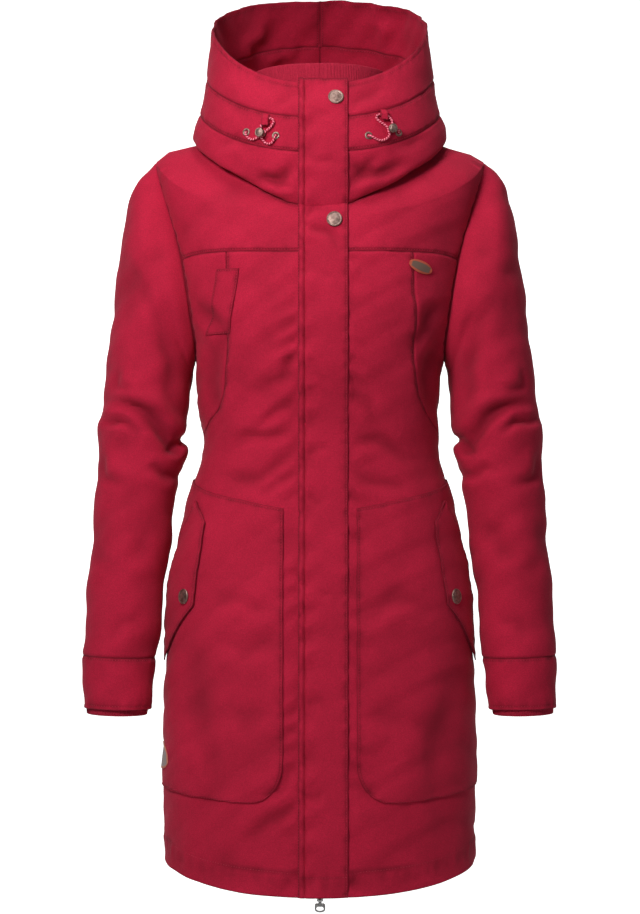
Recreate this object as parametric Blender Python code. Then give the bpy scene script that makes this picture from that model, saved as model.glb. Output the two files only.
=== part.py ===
"""Women's hooded parka, hollow and filled out as if it were worn.

Lengths are millimetres in the tables and metres in the meshes. +Z is up, the front faces -Y and the
wearer's left is +X. The origin lies between the shoulders, at the height of the shoulder line.

Every cloth piece is cut from one of four surfaces: the body, the sleeve, the hood and the rib collar.
Each surface is a stack of rings, and a short table gives one row to each ring. theta goes round the
body from the centre front (0 degrees) by the wearer's left side (90) to the centre back (180).
"""
import math

import bmesh
import bpy
import numpy as np
from mathutils import Matrix, Vector

MM = 0.001

# Cloth and trim thicknesses, and the gap left at every seam.
CLOTH = 2.5
POCKET_CLOTH = 1.6
FLAP_CLOTH = 2.0
WELT_CLOTH = 1.4
PLACKET_CLOTH = 2.6
RIB_KNIT = 3.0
TAB_CLOTH = 1.4
LEATHER = 1.5
LABEL_CLOTH = 0.8
SEAM = 0.3
CORD_DIAMETER = 2.5

# Body rings. height is the ring's height at the side; the drops lower its front and back.
BODY_COLUMNS = ("height", "half_width", "front", "back", "front_drop", "back_drop")
BODY_RINGS = (
    (-832.0, 183.5, 136.0, 142.0, -33.0, -44.0),   # hem
    (-760.0, 184.0, 135.0, 142.0, -17.0, -22.0),
    (-680.0, 182.5, 133.0, 141.0, -5.0, -7.0),
    (-600.0, 179.0, 130.0, 138.0, 0.0, 0.0),
    (-530.0, 175.0, 127.0, 133.0, 0.0, 0.0),       # hip
    (-460.0, 165.0, 121.0, 121.0, 0.0, 0.0),
    (-400.0, 151.0, 115.0, 103.0, 0.0, 0.0),
    (-345.0, 138.5, 112.0, 91.0, 0.0, 0.0),        # waist
    (-300.0, 141.0, 118.0, 94.0, 0.0, 0.0),
    (-250.0, 146.0, 131.0, 101.0, 0.0, 0.0),       # underarm
    (-190.0, 163.0, 136.0, 108.0, 0.0, 0.0),       # bust
    (-134.0, 175.0, 131.0, 113.0, -3.0, 0.0),
    (-98.0, 181.0, 127.0, 114.0, -18.0, 0.0),
    (-60.0, 187.0, 123.0, 111.0, -42.0, 0.0),
    (-14.0, 193.0, 119.0, 96.0, -72.0, 2.0),       # shoulder point
    (17.0, 105.0, 114.0, 72.0, -91.0, 6.0),        # neck
)
BODY_ROUNDNESS = 0.86
FRONT_DROP_POWER = 1.3
BACK_DROP_POWER = 2.0
SIDE_POINT = -338.4
SHOULDER = -14.0
NECK = 17.0

# The armhole on the body's surface: its foot and top, and how far it opens forward and back.
ARMHOLE_FOOT = -250.0
ARMHOLE_FRONT = 25.0
ARMHOLE_SCOOP = 2.0
ARMHOLE_BACK = 22.0
ARMHOLE_STEPS = 16

# Sleeve rings: the outermost and innermost point of each, its centre's y and its half depth.
SLEEVE_COLUMNS = ("station", "outer_x", "outer_z", "inner_x", "inner_z", "centre_y", "half_depth")
SLEEVE_RINGS = (
    (0, 193.0, -14.0, 146.0, -250.0, 0.0, 60.0),     # armhole
    (1, 217.0, -42.0, 151.5, -262.0, 0.0, 73.0),
    (2, 231.5, -92.0, 153.0, -270.0, -1.0, 75.0),
    (3, 241.0, -165.0, 153.5, -281.0, -3.0, 72.0),
    (4, 249.0, -232.0, 154.0, -293.0, -6.0, 67.0),
    (5, 254.0, -285.0, 154.5, -308.0, -8.0, 63.0),
    (6, 256.0, -306.0, 156.0, -323.0, -9.0, 60.0),   # elbow folds
    (7, 262.0, -325.0, 162.0, -339.0, -10.0, 61.0),
    (8, 261.5, -352.0, 158.0, -357.0, -10.0, 57.0),
    (9, 262.5, -386.0, 164.5, -384.0, -11.0, 57.0),
    (10, 265.0, -418.0, 171.0, -418.0, -13.0, 54.0),
    (11, 268.5, -460.0, 176.0, -460.0, -15.0, 52.0),
    (12, 273.0, -531.0, 184.0, -531.0, -20.0, 49.0),
    (13, 277.0, -594.0, 190.5, -597.0, -25.0, 46.0), # cuff seam
    (14, 277.0, -655.0, 198.0, -657.0, -29.0, 43.0), # cuff edge
)
CUFF_SEAM = 13.0
CUFF_EDGE = 14.0
RIB_CUFF_TOP = 13.72
RIB_CUFF_LENGTH = 24.0
RIB_CUFF_TAPER = 2.6

# Hood rings, from the neck seam out under the fold, into the bag behind, and up to the face edge.
# back_power gathers the back's drop towards the centre back.
HOOD_COLUMNS = ("level", "half_width", "front", "back", "height", "front_drop", "back_drop", "back_power")
HOOD_RINGS = (
    (0, 105.0, 114.0, 72.0, 17.3, -91.0, 6.2, 2.0),      # neck seam
    (1, 126.0, 115.5, 100.0, 12.5, -78.0, -9.0, 4.0),
    (2, 144.0, 117.0, 122.0, 9.0, -62.0, -60.0, 4.0),
    (3, 149.5, 118.0, 146.0, 15.0, -58.0, -100.0, 4.0),  # fold over the shoulder, foot of the bag
    (4, 148.0, 118.5, 178.0, 26.0, -52.0, -40.0, 4.0),
    (5, 142.0, 119.0, 184.0, 42.0, -54.0, 50.0, 1.6),    # channel seam
    (6, 134.5, 114.0, 160.0, 82.0, -54.0, 60.0, 1.1),    # band seam
    (7, 127.5, 98.0, 122.0, 143.0, -74.0, 50.0, 0.85),   # face edge
)
GUSSET_FROM = 157.5
HOOD_LOW_LEVELS = (0.0, 0.6, 1.3, 2.0, 2.5, 3.0, 3.5, 4.2, 5.0)
HOOD_CHANNEL_LEVELS = (5.0, 5.5, 6.0)
HOOD_BAND_LEVELS = (6.0, 6.33, 6.67, 7.0)

# Rib collar rings inside the hood.
COLLAR_COLUMNS = ("level", "half_width", "front", "back", "height", "front_drop", "back_drop")
COLLAR_RINGS = (
    (0, 103.8, 108.2, 68.9, 14.2, -89.2, 4.2),
    (1, 93.0, 105.0, 66.0, 40.0, -62.0, 4.0),
    (2, 84.0, 96.0, 64.0, 66.0, -28.0, 2.0),
    (3, 79.0, 88.0, 62.0, 87.0, 6.0, -2.0),
)
COLLAR_TOP = 3.0

# Seams on the front: half the zip's gap, the yoke seam and the bust seam (body angle at each height).
ZIP_GAP = 7.0
YOKE_CENTRE = -119.0
YOKE_SIDE = -132.0
BUST_SEAM = (
    (-338.4, 90.0),
    (-338.0, 85.0),
    (-330.0, 75.0),
    (-312.0, 60.0),
    (-291.0, 50.0),
    (-250.0, 45.0),
    (-208.0, 42.0),
    (-175.0, 37.0),
    (-119.0, 33.0),
)

# Heights of the body's rows below the yoke, shared by every panel so that seams meet.
SKIRT_ROWS = (-832.0, -795.0, -745.0, -730.0, -705.0, -655.0, -595.0, -540.0, -490.0, -445.0,
              -405.0, -372.0, SIDE_POINT, -338.0, -330.0, -312.0, -291.0, -270.0)
FRONT_COLUMNS = 12
YOKE_COLUMNS = 9
SIDE_COLUMNS = 6
BACK_COLUMNS = 17

# Storm placket.
PLACKET_SEWN_X = -25.0
PLACKET_FREE_X = 32.0
PLACKET_TOP_RISE = 3.0
PLACKET_FOOT = -864.6
PLACKET_ARCH = 1.0
PLACKET_FOOT_ARCH = 2.6
PLACKET_FOOT_RUN = 40.0

# Patch pockets; the top edge is a body angle and a height.
POCKET_FRONT_X = 42.0
POCKET_CORNER = 40.0
POCKET_ROWS = (-745.0, -741.0, -730.0, -705.0, -655.0, -595.0, -540.0, -490.0, -445.0)
POCKET_SIDE = 88.0
POCKET_TOP = ((10.0, -422.0), (21.0, -417.0), (33.0, -411.0), (51.0, -404.0), (72.0, -395.0), (90.0, -387.0))

# Side pocket flap: its front and back edge, as body angles, at each height.
FLAP_ROWS = (
    (-601.0, 85.5, 87.5),
    (-588.0, 77.0, 87.5),
    (-565.0, 66.5, 87.5),
    (-549.0, 59.5, 87.5),
    (-533.0, 52.5, 87.5),
    (-490.0, 51.0, 86.0),
    (-455.0, 50.5, 77.0),
    (-438.0, 51.0, 71.0),
    (-414.0, 62.5, 65.0),
)
FLAP_LIFT = 3.1

# Chest welt on the wearer's right: top and foot, each from its outer to its inner end.
WELT_TOP = ((-118.5, -146.0), (-92.0, -146.0))
WELT_FOOT = ((-131.0, -221.0), (-104.5, -221.0))

# Leather oval and side label.
BADGE_CENTRE = (115.5, -143.5)
BADGE_HALF_SIZE = (14.0, 7.0)
BADGE_TILT = -22.0
LABEL_CENTRE = (-84.0, -711.0)
LABEL_HALF_ANGLE = 15.0
LABEL_HALF_HEIGHT = 15.0

# Press studs.
STUD_PROFILE = ((0.0, 0.0), (9.0, 0.0), (9.0, 0.9), (8.3, 1.9), (5.6, 2.6), (0.0, 2.9))
STUD_TOP = (18.0, 49.5)
STUD_CHEST = (16.3, -90.8)
STUD_FLAP = (59.5, -524.0)

# Zip: tape with its raised chain, slider, ears, pin and pull.
ZIP_TAPE_HALF = 12.0
ZIP_TAPE = 1.2
ZIP_CHAIN_HALF = 3.0
ZIP_CHAIN = 2.3
ZIP_TOP_LEVEL = 6.9
SLIDER_HALF_WIDTH = 5.2
SLIDER_LENGTH = 12.0
SLIDER_THICKNESS = 1.7
EAR_INNER = 2.4
EAR_OUTER = 3.5
KNUCKLE_GAP = 0.4
PIN_RADIUS = 0.8
PULL_EYE_RADIUS = 1.15
PULL_KNUCKLE_RADIUS = 2.1
PULL_KNUCKLE_HALF = 2.1
PULL_HALF_WIDTH = 6.0
PULL_LENGTH = 15.0
PULL_THICKNESS = 1.5
PULL_FRAME = 1.8
PULL_NECK_TOP = -1.6
PULL_NECK_FOOT = -4.6
PULL_BLADE_TOP = -3.6
PULL_WINDOW_TOP = -7.6
PULL_FOOT_ROUND = 0.55
PULL_CORNER = 1.5
EAR_HALF = 1.4
ROUND_SIDES = 12

# Drawcord hardware, placed by x and z on the hood's front.
EYELETS = {
    "eyelet_r_out": (-84.7, 11.7),
    "eyelet_r_in": (-50.7, 6.6),
    "eyelet_l_in": (55.7, 6.7),
    "eyelet_l_out": (90.3, 11.4),
}
EYELET_PROFILE = ((2.4, 0.0), (4.2, 0.0), (3.9, 0.9), (2.7, 0.9))
TAB_HALF_WIDTH = 3.9
TAB_STAND = 4.2
TABS = {"cord_tab_r": (-61.8, 31.5, 17.5), "cord_tab_l": (72.4, 37.5, 24.5)}
LOCK_PROFILE = ((0.0, 0.0), (4.2, 0.0), (4.6, 0.6), (4.6, 6.6), (2.5, 6.6), (2.5, 1.6), (0.0, 1.6))
BUTTON_PROFILE = ((0.0, 4.2), (2.1, 4.2), (2.1, 8.8), (5.0, 8.8), (5.2, 9.5), (4.6, 10.6), (0.0, 10.9))
LOCKS = {
    "cord_lock_r": {"base": (-65.5, 9.0), "axis": (-0.40, -0.91, 0.10), "button": "lock_button_r"},
    "cord_lock_l": {"base": (81.0, 14.5), "axis": (0.30, -0.95, 0.10), "button": "lock_button_l"},
}
LOCK_STAND = 1.6

# Drawcord routes: x and z on the hood's front, and the height of the cord's middle over the cloth.
CORD_ROUTES = {
    "cord_r_1": ((-84.7, 11.7, 0.4), (-84.5, 11.2, 2.6), (-83.6, 8.2, 4.6), (-81.6, 4.8, 4.2),
                 (-78.6, 2.6, 3.4), (-75.6, 2.2, 3.6), (-72.6, 3.2, 4.2), (-70.1, 4.9, 4.8)),
    "cord_r_2": ((-67.4, 14.6, 5.0), (-66.7, 17.5, 4.2), (-65.4, 20.6, 2.1), (-62.0, 24.3, 1.7),
                 (-58.4, 26.4, 2.0), (-55.6, 26.2, 2.6), (-53.2, 24.2, 3.0), (-52.8, 21.4, 3.2),
                 (-54.2, 18.0, 3.6), (-57.0, 14.6, 4.2), (-60.0, 12.2, 4.8)),
    "cord_r_3": ((-65.6, 3.4, 4.8), (-64.2, 0.4, 4.0), (-61.6, -2.2, 3.2), (-58.3, -3.3, 2.8),
                 (-55.0, -2.2, 3.2), (-52.4, 0.6, 4.2), (-51.0, 3.6, 4.6), (-50.7, 6.2, 2.6),
                 (-50.7, 6.6, 0.4)),
    "cord_l_1": ((55.7, 6.7, 0.4), (56.0, 6.4, 2.6), (58.4, 5.0, 4.6), (61.8, 3.2, 4.2),
                 (66.0, 1.4, 3.2), (70.5, 1.2, 3.0), (75.0, 3.2, 3.8), (78.0, 7.2, 4.8)),
    "cord_l_2": ((75.2, 16.2, 5.0), (72.0, 19.6, 4.0), (68.0, 22.6, 3.0), (64.8, 25.8, 2.8),
                 (63.8, 28.4, 2.6), (65.4, 30.4, 2.2), (68.6, 31.4, 1.8), (72.4, 31.4, 1.6),
                 (76.2, 30.6, 1.8), (79.2, 27.8, 2.6), (81.0, 24.0, 4.2), (81.5, 20.0, 5.0)),
    "cord_l_3": ((86.6, 13.8, 5.0), (88.6, 12.8, 4.6), (90.0, 11.8, 2.8), (90.3, 11.4, 0.4)),
}
CORD_SPACING = 5.0


# ---------------------------------------------------------------- curves and tables

def curve_through(knots, values, at):
    """A smooth curve through a table's values that keeps each rise and fall of the table."""
    knots = np.asarray(knots, float)
    values = np.asarray(values, float)
    step = np.diff(knots)
    rise = np.diff(values) / step
    slope = np.zeros_like(values)
    slope[0], slope[-1] = rise[0], rise[-1]
    same = rise[:-1] * rise[1:] > 0
    total = np.where(same, rise[:-1] + rise[1:], 1.0)
    slope[1:-1] = np.where(same, 2 * rise[:-1] * rise[1:] / total, 0.0)
    at = np.asarray(at, float)
    i = np.clip(np.searchsorted(knots, at, side="right") - 1, 0, len(step) - 1)
    t = (at - knots[i]) / step[i]
    return ((1 + 2 * t) * (1 - t) ** 2 * values[i] + t * (1 - t) ** 2 * step[i] * slope[i]
            + t * t * (3 - 2 * t) * values[i + 1] + t * t * (t - 1) * step[i] * slope[i + 1])


def read_table(columns, rows, at):
    """The table's columns, each read at the given values of its first column."""
    table = np.array(rows, float)
    return {name: curve_through(table[:, 0], table[:, i], at) for i, name in enumerate(columns)}


def ramp(low, high, at):
    """0 below low, 1 above high and a soft rise between."""
    t = np.clip((at - low) / (high - low), 0.0, 1.0)
    return t * t * (3 - 2 * t)


# ---------------------------------------------------------------- the four surfaces

def ring(theta, sizes):
    """A softened rectangle round the body, lowered at its front and back by the drops."""
    angle = np.radians(theta)
    across = np.sin(angle)
    along = np.cos(angle)
    x = sizes["half_width"] * np.sign(across) * np.abs(across) ** BODY_ROUNDNESS
    y = np.where(along > 0, -sizes["front"], sizes["back"]) * np.abs(along) ** BODY_ROUNDNESS
    drop = np.where(along > 0, sizes["front_drop"] * np.abs(along) ** FRONT_DROP_POWER,
                    sizes["back_drop"] * np.abs(along) ** sizes.get("back_power", BACK_DROP_POWER))
    return np.stack(np.broadcast_arrays(x, y, sizes["height"] + drop), -1)


def body(theta, height):
    return ring(theta, read_table(BODY_COLUMNS, BODY_RINGS, height))


def hood(theta, level):
    return ring(theta, read_table(HOOD_COLUMNS, HOOD_RINGS, level))


def collar(theta, level):
    return ring(theta, read_table(COLLAR_COLUMNS, COLLAR_RINGS, level))


def armhole(phi):
    """Body angle and height of the armhole, phi running from its top (0) forward to its foot (180)."""
    angle = np.radians(phi)
    middle = (SHOULDER + ARMHOLE_FOOT) / 2
    height = middle + (SHOULDER - middle) * np.cos(angle)
    forward = ARMHOLE_FRONT * np.sin(angle) - ARMHOLE_SCOOP * np.sin(2 * angle)
    rearward = ARMHOLE_BACK * np.sin(angle)
    return 90.0 - np.where(np.sin(angle) >= 0, forward, rearward), height


def sleeve(phi, station):
    """The wearer's left sleeve: slanted ellipses, the first of them drawn to the armhole."""
    rings = read_table(SLEEVE_COLUMNS, SLEEVE_RINGS, station)
    angle = np.radians(phi)

    def ellipse(sizes):
        x = (sizes["outer_x"] + sizes["inner_x"]) / 2
        x = x + (sizes["outer_x"] - sizes["inner_x"]) / 2 * np.cos(angle)
        z = (sizes["outer_z"] + sizes["inner_z"]) / 2
        z = z + (sizes["outer_z"] - sizes["inner_z"]) / 2 * np.cos(angle)
        y = sizes["centre_y"] - sizes["half_depth"] * np.sin(angle)
        return np.stack(np.broadcast_arrays(x, y, z), -1)

    first = read_table(SLEEVE_COLUMNS, SLEEVE_RINGS, 0.0)
    share = 1.0 - ramp(0.0, 1.6, np.asarray(station, float))
    return ellipse(rings) + np.asarray(share)[..., None] * (body(*armhole(phi)) - ellipse(first))


def normals(surface, u, v, du=0.4, dv=0.02):
    """Outward unit normals of a surface, from small steps along its two parameters."""
    along_u = surface(u + du, v) - surface(u - du, v)
    along_v = surface(u, v + dv) - surface(u, v - dv)
    cross = np.cross(along_u, along_v)
    return cross / np.linalg.norm(cross, axis=-1, keepdims=True)


def locate(surface, x, z, theta, level):
    """The parameters at which a surface passes through x and z, by Newton's method."""
    x, z = np.broadcast_arrays(np.asarray(x, float), np.asarray(z, float))
    theta = np.broadcast_to(theta, x.shape).astype(float)
    level = np.broadcast_to(level, x.shape).astype(float)
    step = 0.01
    for _ in range(12):
        here = surface(theta, level)
        by_theta = (surface(theta + step, level) - here) / step
        by_level = (surface(theta, level + step) - here) / step
        miss_x = x - here[..., 0]
        miss_z = z - here[..., 2]
        det = by_theta[..., 0] * by_level[..., 2] - by_level[..., 0] * by_theta[..., 2]
        theta = theta + np.clip((miss_x * by_level[..., 2] - miss_z * by_level[..., 0]) / det, -8, 8)
        level = level + np.clip((by_theta[..., 0] * miss_z - by_theta[..., 2] * miss_x) / det, -60, 60)
    return theta, level


def on_body(x, z):
    """Point and normal of the body's front at x and z."""
    theta, height = locate(body, x, z, np.degrees(np.arcsin(np.clip(np.asarray(x) / 175.0, -0.9, 0.9))), z)
    return body(theta, height), normals(body, theta, height, dv=0.5)


def on_hood(x, z):
    """Point and normal of the hood's front at x and z."""
    guess = 5.0 + (np.asarray(z, float) + 12.0) / 45.0
    theta, level = locate(hood, x, z, np.degrees(np.arcsin(np.asarray(x) / 140.0)), np.clip(guess, 0.5, 6.9))
    return hood(theta, level), normals(hood, theta, level)


def angle_at(x, half_width):
    """The angle at which a ring of this half width passes x."""
    return np.degrees(np.sign(x) * np.arcsin((np.abs(x) / half_width) ** (1 / BODY_ROUNDNESS)))


def centre_front(xs, levels):
    """Points and normals up the centre front at each x: the body's own rows, then the hood's levels."""
    xs = np.asarray(xs, float)[None, :]
    points, out = [], []
    for surface, columns, rings, rows, dv in ((body, BODY_COLUMNS, BODY_RINGS, centre_rows(), 0.5),
                                              (hood, HOOD_COLUMNS, HOOD_RINGS, np.array(levels), 0.02)):
        theta = angle_at(xs, read_table(columns, rings, rows)["half_width"][:, None])
        level = np.broadcast_to(rows[:, None], theta.shape)
        points.append(surface(theta, level))
        out.append(normals(surface, theta, level, dv=dv))
    return np.concatenate(points), np.concatenate(out)


# ---------------------------------------------------------------- solids

def material(name, color, roughness, metallic=0.0):
    surface = bpy.data.materials.new(name)
    surface.use_nodes = True
    shader = surface.node_tree.nodes["Principled BSDF"]
    shader.inputs["Base Color"].default_value = (*color, 1.0)
    shader.inputs["Roughness"].default_value = roughness
    shader.inputs["Metallic"].default_value = metallic
    return surface


def solid(name, points, faces, surface, place=None):
    """A closed mesh, in millimetres, turned so that its faces point out."""
    mesh = bpy.data.meshes.new(name)
    mesh.from_pydata([tuple(point) for point in np.asarray(points, float) * MM], [], faces)
    form = bmesh.new()
    form.from_mesh(mesh)
    bmesh.ops.recalc_face_normals(form, faces=form.faces)
    form.to_mesh(mesh)
    form.free()
    mesh.shade_smooth()
    mesh.set_sharp_from_angle(angle=math.radians(40))
    mesh.materials.append(surface)
    piece = bpy.data.objects.new(name, mesh)
    bpy.context.scene.collection.objects.link(piece)
    if place is not None:
        piece.matrix_world = place
    return piece


def draw_in(grid, wrap):
    """Move a grid's free edges in by half a seam's gap."""
    grid = grid.copy()
    edges = [(np.s_[0], np.s_[1]), (np.s_[-1], np.s_[-2])]
    if not wrap:
        edges += [(np.s_[:, 0], np.s_[:, 1]), (np.s_[:, -1], np.s_[:, -2])]
    for edge, beside in edges:
        inward = grid[beside] - grid[edge]
        grid[edge] += inward * (SEAM / 2 / np.linalg.norm(inward, axis=-1, keepdims=True))
    return grid


def wall(name, outer, inner, surface, wrap=False):
    """A closed wall between two grids of points; wrap joins each row's end to its start."""
    outer = draw_in(outer, wrap)
    inner = draw_in(inner, wrap)
    rows, columns = outer.shape[:2]
    spans = columns if wrap else columns - 1
    count = rows * columns
    faces = []
    for r in range(rows - 1):
        for c in range(spans):
            a, b = r * columns + c, r * columns + (c + 1) % columns
            faces.append((a, b, b + columns, a + columns))
            faces.append((count + a + columns, count + b + columns, count + b, count + a))
    for c in range(spans):
        a, b = c, (c + 1) % columns
        top = count - columns
        faces.append((b, a, count + a, count + b))
        faces.append((top + a, top + b, count + top + b, count + top + a))
    if not wrap:
        for r in range(rows - 1):
            a, b = r * columns, (r + 1) * columns
            end = columns - 1
            faces.append((a, b, count + b, count + a))
            faces.append((b + end, a + end, count + a + end, count + b + end))
    return solid(name, np.concatenate([outer.reshape(-1, 3), inner.reshape(-1, 3)]), faces, surface)


def panel(name, surface, theta, level, cloth, low=-CLOTH, high=0.0, dv=0.02, first_normals=None, side=1, wrap=False):
    """A wall cut from a surface, between the offsets low and high along its normals."""
    points = surface(theta, level)
    out = normals(surface, theta, level, dv=dv)
    if first_normals is not None:
        agree = np.sum(out[0] * first_normals, -1, keepdims=True)
        share = ramp(0.0, 0.7, agree)
        mixed = out[0] * (1 - share) + first_normals * share
        out[0] = mixed / np.linalg.norm(mixed, axis=-1, keepdims=True)
    flip = np.array([side, 1.0, 1.0])
    return wall(name, (points + out * high) * flip, (points + out * low) * flip, cloth, wrap)


def spread(left, right, columns):
    """Rows of evenly spaced values from each left to each right."""
    share = np.linspace(0.0, 1.0, columns)
    return np.asarray(left)[:, None] * (1 - share) + np.asarray(right)[:, None] * share


def turned(name, profile, place, surface, sides=ROUND_SIDES):
    """A profile of radius and height spun round an axis; a zero radius closes as a pole."""
    points, rings_made, faces = [], [], []
    for radius, height in profile:
        if radius == 0.0:
            rings_made.append([len(points)] * sides)
            points.append((0.0, 0.0, height))
            continue
        rings_made.append(list(range(len(points), len(points) + sides)))
        for i in range(sides):
            angle = 2 * math.pi * i / sides
            points.append((radius * math.cos(angle), radius * math.sin(angle), height))
    pairs = list(zip(rings_made, rings_made[1:]))
    if profile[0][0] > 0.0:
        pairs.append((rings_made[-1], rings_made[0]))
    for low, high in pairs:
        for i in range(sides):
            j = (i + 1) % sides
            face = [low[i], low[j], high[j], high[i]]
            faces.append(tuple(dict.fromkeys(face)))
    return solid(name, points, faces, surface, place)


def standing_on(point, axis, lift):
    """A placement whose z runs along axis, lifted off a point in millimetres."""
    axis = Vector(axis).normalized()
    turn = axis.to_track_quat("Z", "Y").to_matrix().to_4x4()
    return Matrix.Translation((Vector(point) + axis * lift) * MM) @ turn


# ---------------------------------------------------------------- the shell

def armhole_rows():
    """Heights and front angles of the armhole's points, foot first."""
    return armhole(np.linspace(180.0, 0.0, ARMHOLE_STEPS // 2 + 1))


def zip_edge(heights):
    """Body angle of the fronts' edges beside the zip."""
    return angle_at(ZIP_GAP, read_table(BODY_COLUMNS, BODY_RINGS, heights)["half_width"])


def chest_rows():
    """Body heights from the underarm to the yoke seam's end, with the armhole's angle at each."""
    theta, height = armhole_rows()
    half = ARMHOLE_STEPS // 4
    return theta[:half + 1], height[:half + 1]


def yoke_rows():
    """Body heights from the yoke seam's end to the neck, with the yoke's outer edge at each."""
    theta, height = armhole_rows()
    half = ARMHOLE_STEPS // 4
    shoulder = np.array([SHOULDER + 9.0, SHOULDER + 20.0, NECK])
    return (np.concatenate([theta[half:], np.full(len(shoulder), 90.0)]),
            np.concatenate([height[half:], shoulder]))


def centre_rows():
    """Body heights of the rows that meet the centre front."""
    return np.concatenate([SKIRT_ROWS, chest_rows()[1][:-1], [YOKE_CENTRE], yoke_rows()[1][1:]])


def bust_seam(heights):
    table = np.array(BUST_SEAM)
    return np.interp(heights, table[:, 0], table[:, 1])


def yoke_seam(theta):
    """Height of the yoke seam, falling from the centre front to the armhole."""
    return YOKE_CENTRE + (YOKE_SIDE - YOKE_CENTRE) * (theta / 67.0) ** 3


def body_panels(cloth):
    """Fronts, side fronts, yokes and the back."""
    chest_theta, chest_height = chest_rows()
    rows = np.concatenate([SKIRT_ROWS, chest_height])
    theta = spread(zip_edge(rows), bust_seam(rows), FRONT_COLUMNS)
    level = np.broadcast_to(rows[:, None], theta.shape).copy()
    level[-1] = yoke_seam(theta[-1])

    side_rows = rows[rows > SIDE_POINT]
    outer_edge = np.full(len(side_rows), 90.0)
    outer_edge[-len(chest_theta):] = chest_theta
    side_theta = spread(bust_seam(side_rows), outer_edge, SIDE_COLUMNS)
    side_level = np.broadcast_to(side_rows[:, None], side_theta.shape).copy()
    side_level[-1] = yoke_seam(side_theta[-1])

    yoke_edge, yoke_height = yoke_rows()
    yoke_theta = spread(zip_edge(yoke_height), yoke_edge, YOKE_COLUMNS)
    yoke_level = np.broadcast_to(yoke_height[:, None], yoke_theta.shape).copy()
    yoke_level[0] = yoke_seam(yoke_theta[0])

    for side, tag in ((1, "l"), (-1, "r")):
        panel("front_" + tag, body, theta, level, cloth, dv=0.5, side=side)
        panel("side_front_" + tag, body, side_theta, side_level, cloth, dv=0.5, side=side)
        panel("yoke_" + tag, body, yoke_theta, yoke_level, cloth, dv=0.5, side=side)

    arm_theta, arm_height = armhole(np.linspace(180.0, 360.0, ARMHOLE_STEPS // 2 + 1))
    shoulder = yoke_height[yoke_height > SHOULDER]
    back_rows = np.concatenate([SKIRT_ROWS, arm_height, shoulder])
    opening = np.concatenate([np.zeros(len(SKIRT_ROWS)), arm_theta - 90.0, np.zeros(len(shoulder))])
    theta = spread(90.0 + opening, 270.0 - opening, BACK_COLUMNS)
    panel("back", body, theta, np.broadcast_to(back_rows[:, None], theta.shape), cloth, dv=0.5)


def sleeve_pieces(cloth, knit):
    """Sleeves, cuff bands and rib cuffs."""
    phi = np.arange(ARMHOLE_STEPS) * 360.0 / ARMHOLE_STEPS
    arm_theta, arm_height = armhole(phi)
    arm_normals = normals(body, arm_theta, arm_height, dv=0.5)
    stations = np.array([0.0, 0.35, 1.0, 2.0, 3.0, 4.0, 5.0, 6.0, 7.0, 8.0, 9.0, 10.0, 11.0, 12.0, CUFF_SEAM])
    cuff_stations = np.array([CUFF_SEAM, CUFF_SEAM + 0.5, CUFF_EDGE])

    def grids(rows):
        return np.broadcast_arrays(phi[None, :], rows[:, None])

    for side, tag in ((1, "l"), (-1, "r")):
        panel("sleeve_" + tag, sleeve, *grids(stations), cloth, first_normals=arm_normals, side=side, wrap=True)
        panel("cuff_" + tag, sleeve, *grids(cuff_stations), cloth, side=side, wrap=True)
        station = grids(np.array([RIB_CUFF_TOP]))
        root = sleeve(*station)[0]
        out = normals(sleeve, *station)[0]
        down = sleeve(*grids(np.array([CUFF_EDGE])))[0].mean(0) - root.mean(0)
        down /= np.linalg.norm(down)
        share = np.array([0.0, 0.5, 1.0])[:, None, None]
        outer = root - out * (CLOTH + SEAM + RIB_CUFF_TAPER * share) + down * RIB_CUFF_LENGTH * share
        flip = np.array([side, 1.0, 1.0])
        wall("rib_cuff_" + tag, outer * flip, (outer - out * RIB_KNIT) * flip, knit, wrap=True)


def hood_columns(levels, last):
    """Hood angles on the yoke's and the back's columns, up to the last one, at each level."""
    edge = angle_at(ZIP_GAP, read_table(HOOD_COLUMNS, HOOD_RINGS, levels)["half_width"])
    fore = spread(edge, np.full(len(levels), 90.0), YOKE_COLUMNS)
    step = 180.0 / (BACK_COLUMNS - 1)
    rear = np.arange(90.0 + step, last + 0.1, step)
    return np.concatenate([fore, np.broadcast_to(rear, (len(levels), len(rear)))], 1)


def hood_pieces(cloth, knit):
    """Hood sides, gusset, channels, face bands and the rib collar inside."""
    for name, levels, last in (("hood_side_", HOOD_LOW_LEVELS, GUSSET_FROM),
                               ("hood_channel_", HOOD_CHANNEL_LEVELS, 180.0),
                               ("hood_band_", HOOD_BAND_LEVELS, 180.0)):
        rows = np.array(levels)
        theta = hood_columns(rows, last)
        level = np.broadcast_to(rows[:, None], theta.shape)
        neck = normals(body, theta[0], np.full(theta.shape[1], NECK), dv=0.5) if rows[0] == 0.0 else None
        for side, tag in ((1, "l"), (-1, "r")):
            panel(name + tag, hood, theta, level, cloth, first_normals=neck, side=side)
    theta = np.linspace(GUSSET_FROM, 360.0 - GUSSET_FROM, 5)
    neck = normals(body, theta, np.full(5, NECK), dv=0.5)
    theta, level = np.broadcast_arrays(theta[None, :], np.array(HOOD_LOW_LEVELS)[:, None])
    panel("hood_gusset", hood, theta, level, cloth, first_normals=neck)

    theta = np.linspace(1.0, 359.0, 25)
    theta, level = np.broadcast_arrays(theta[None, :], np.linspace(0.0, COLLAR_TOP, 5)[:, None])
    panel("rib_collar", collar, theta, level, knit, low=-RIB_KNIT)


# ---------------------------------------------------------------- what lies on the shell

def lifted(name, point, out, low, high, cloth):
    """A wall between two heights over given points."""
    low = np.broadcast_to(low, point.shape[:-1])[..., None]
    high = np.broadcast_to(high, point.shape[:-1])[..., None]
    return wall(name, point + out * high, point + out * low, cloth)


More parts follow.
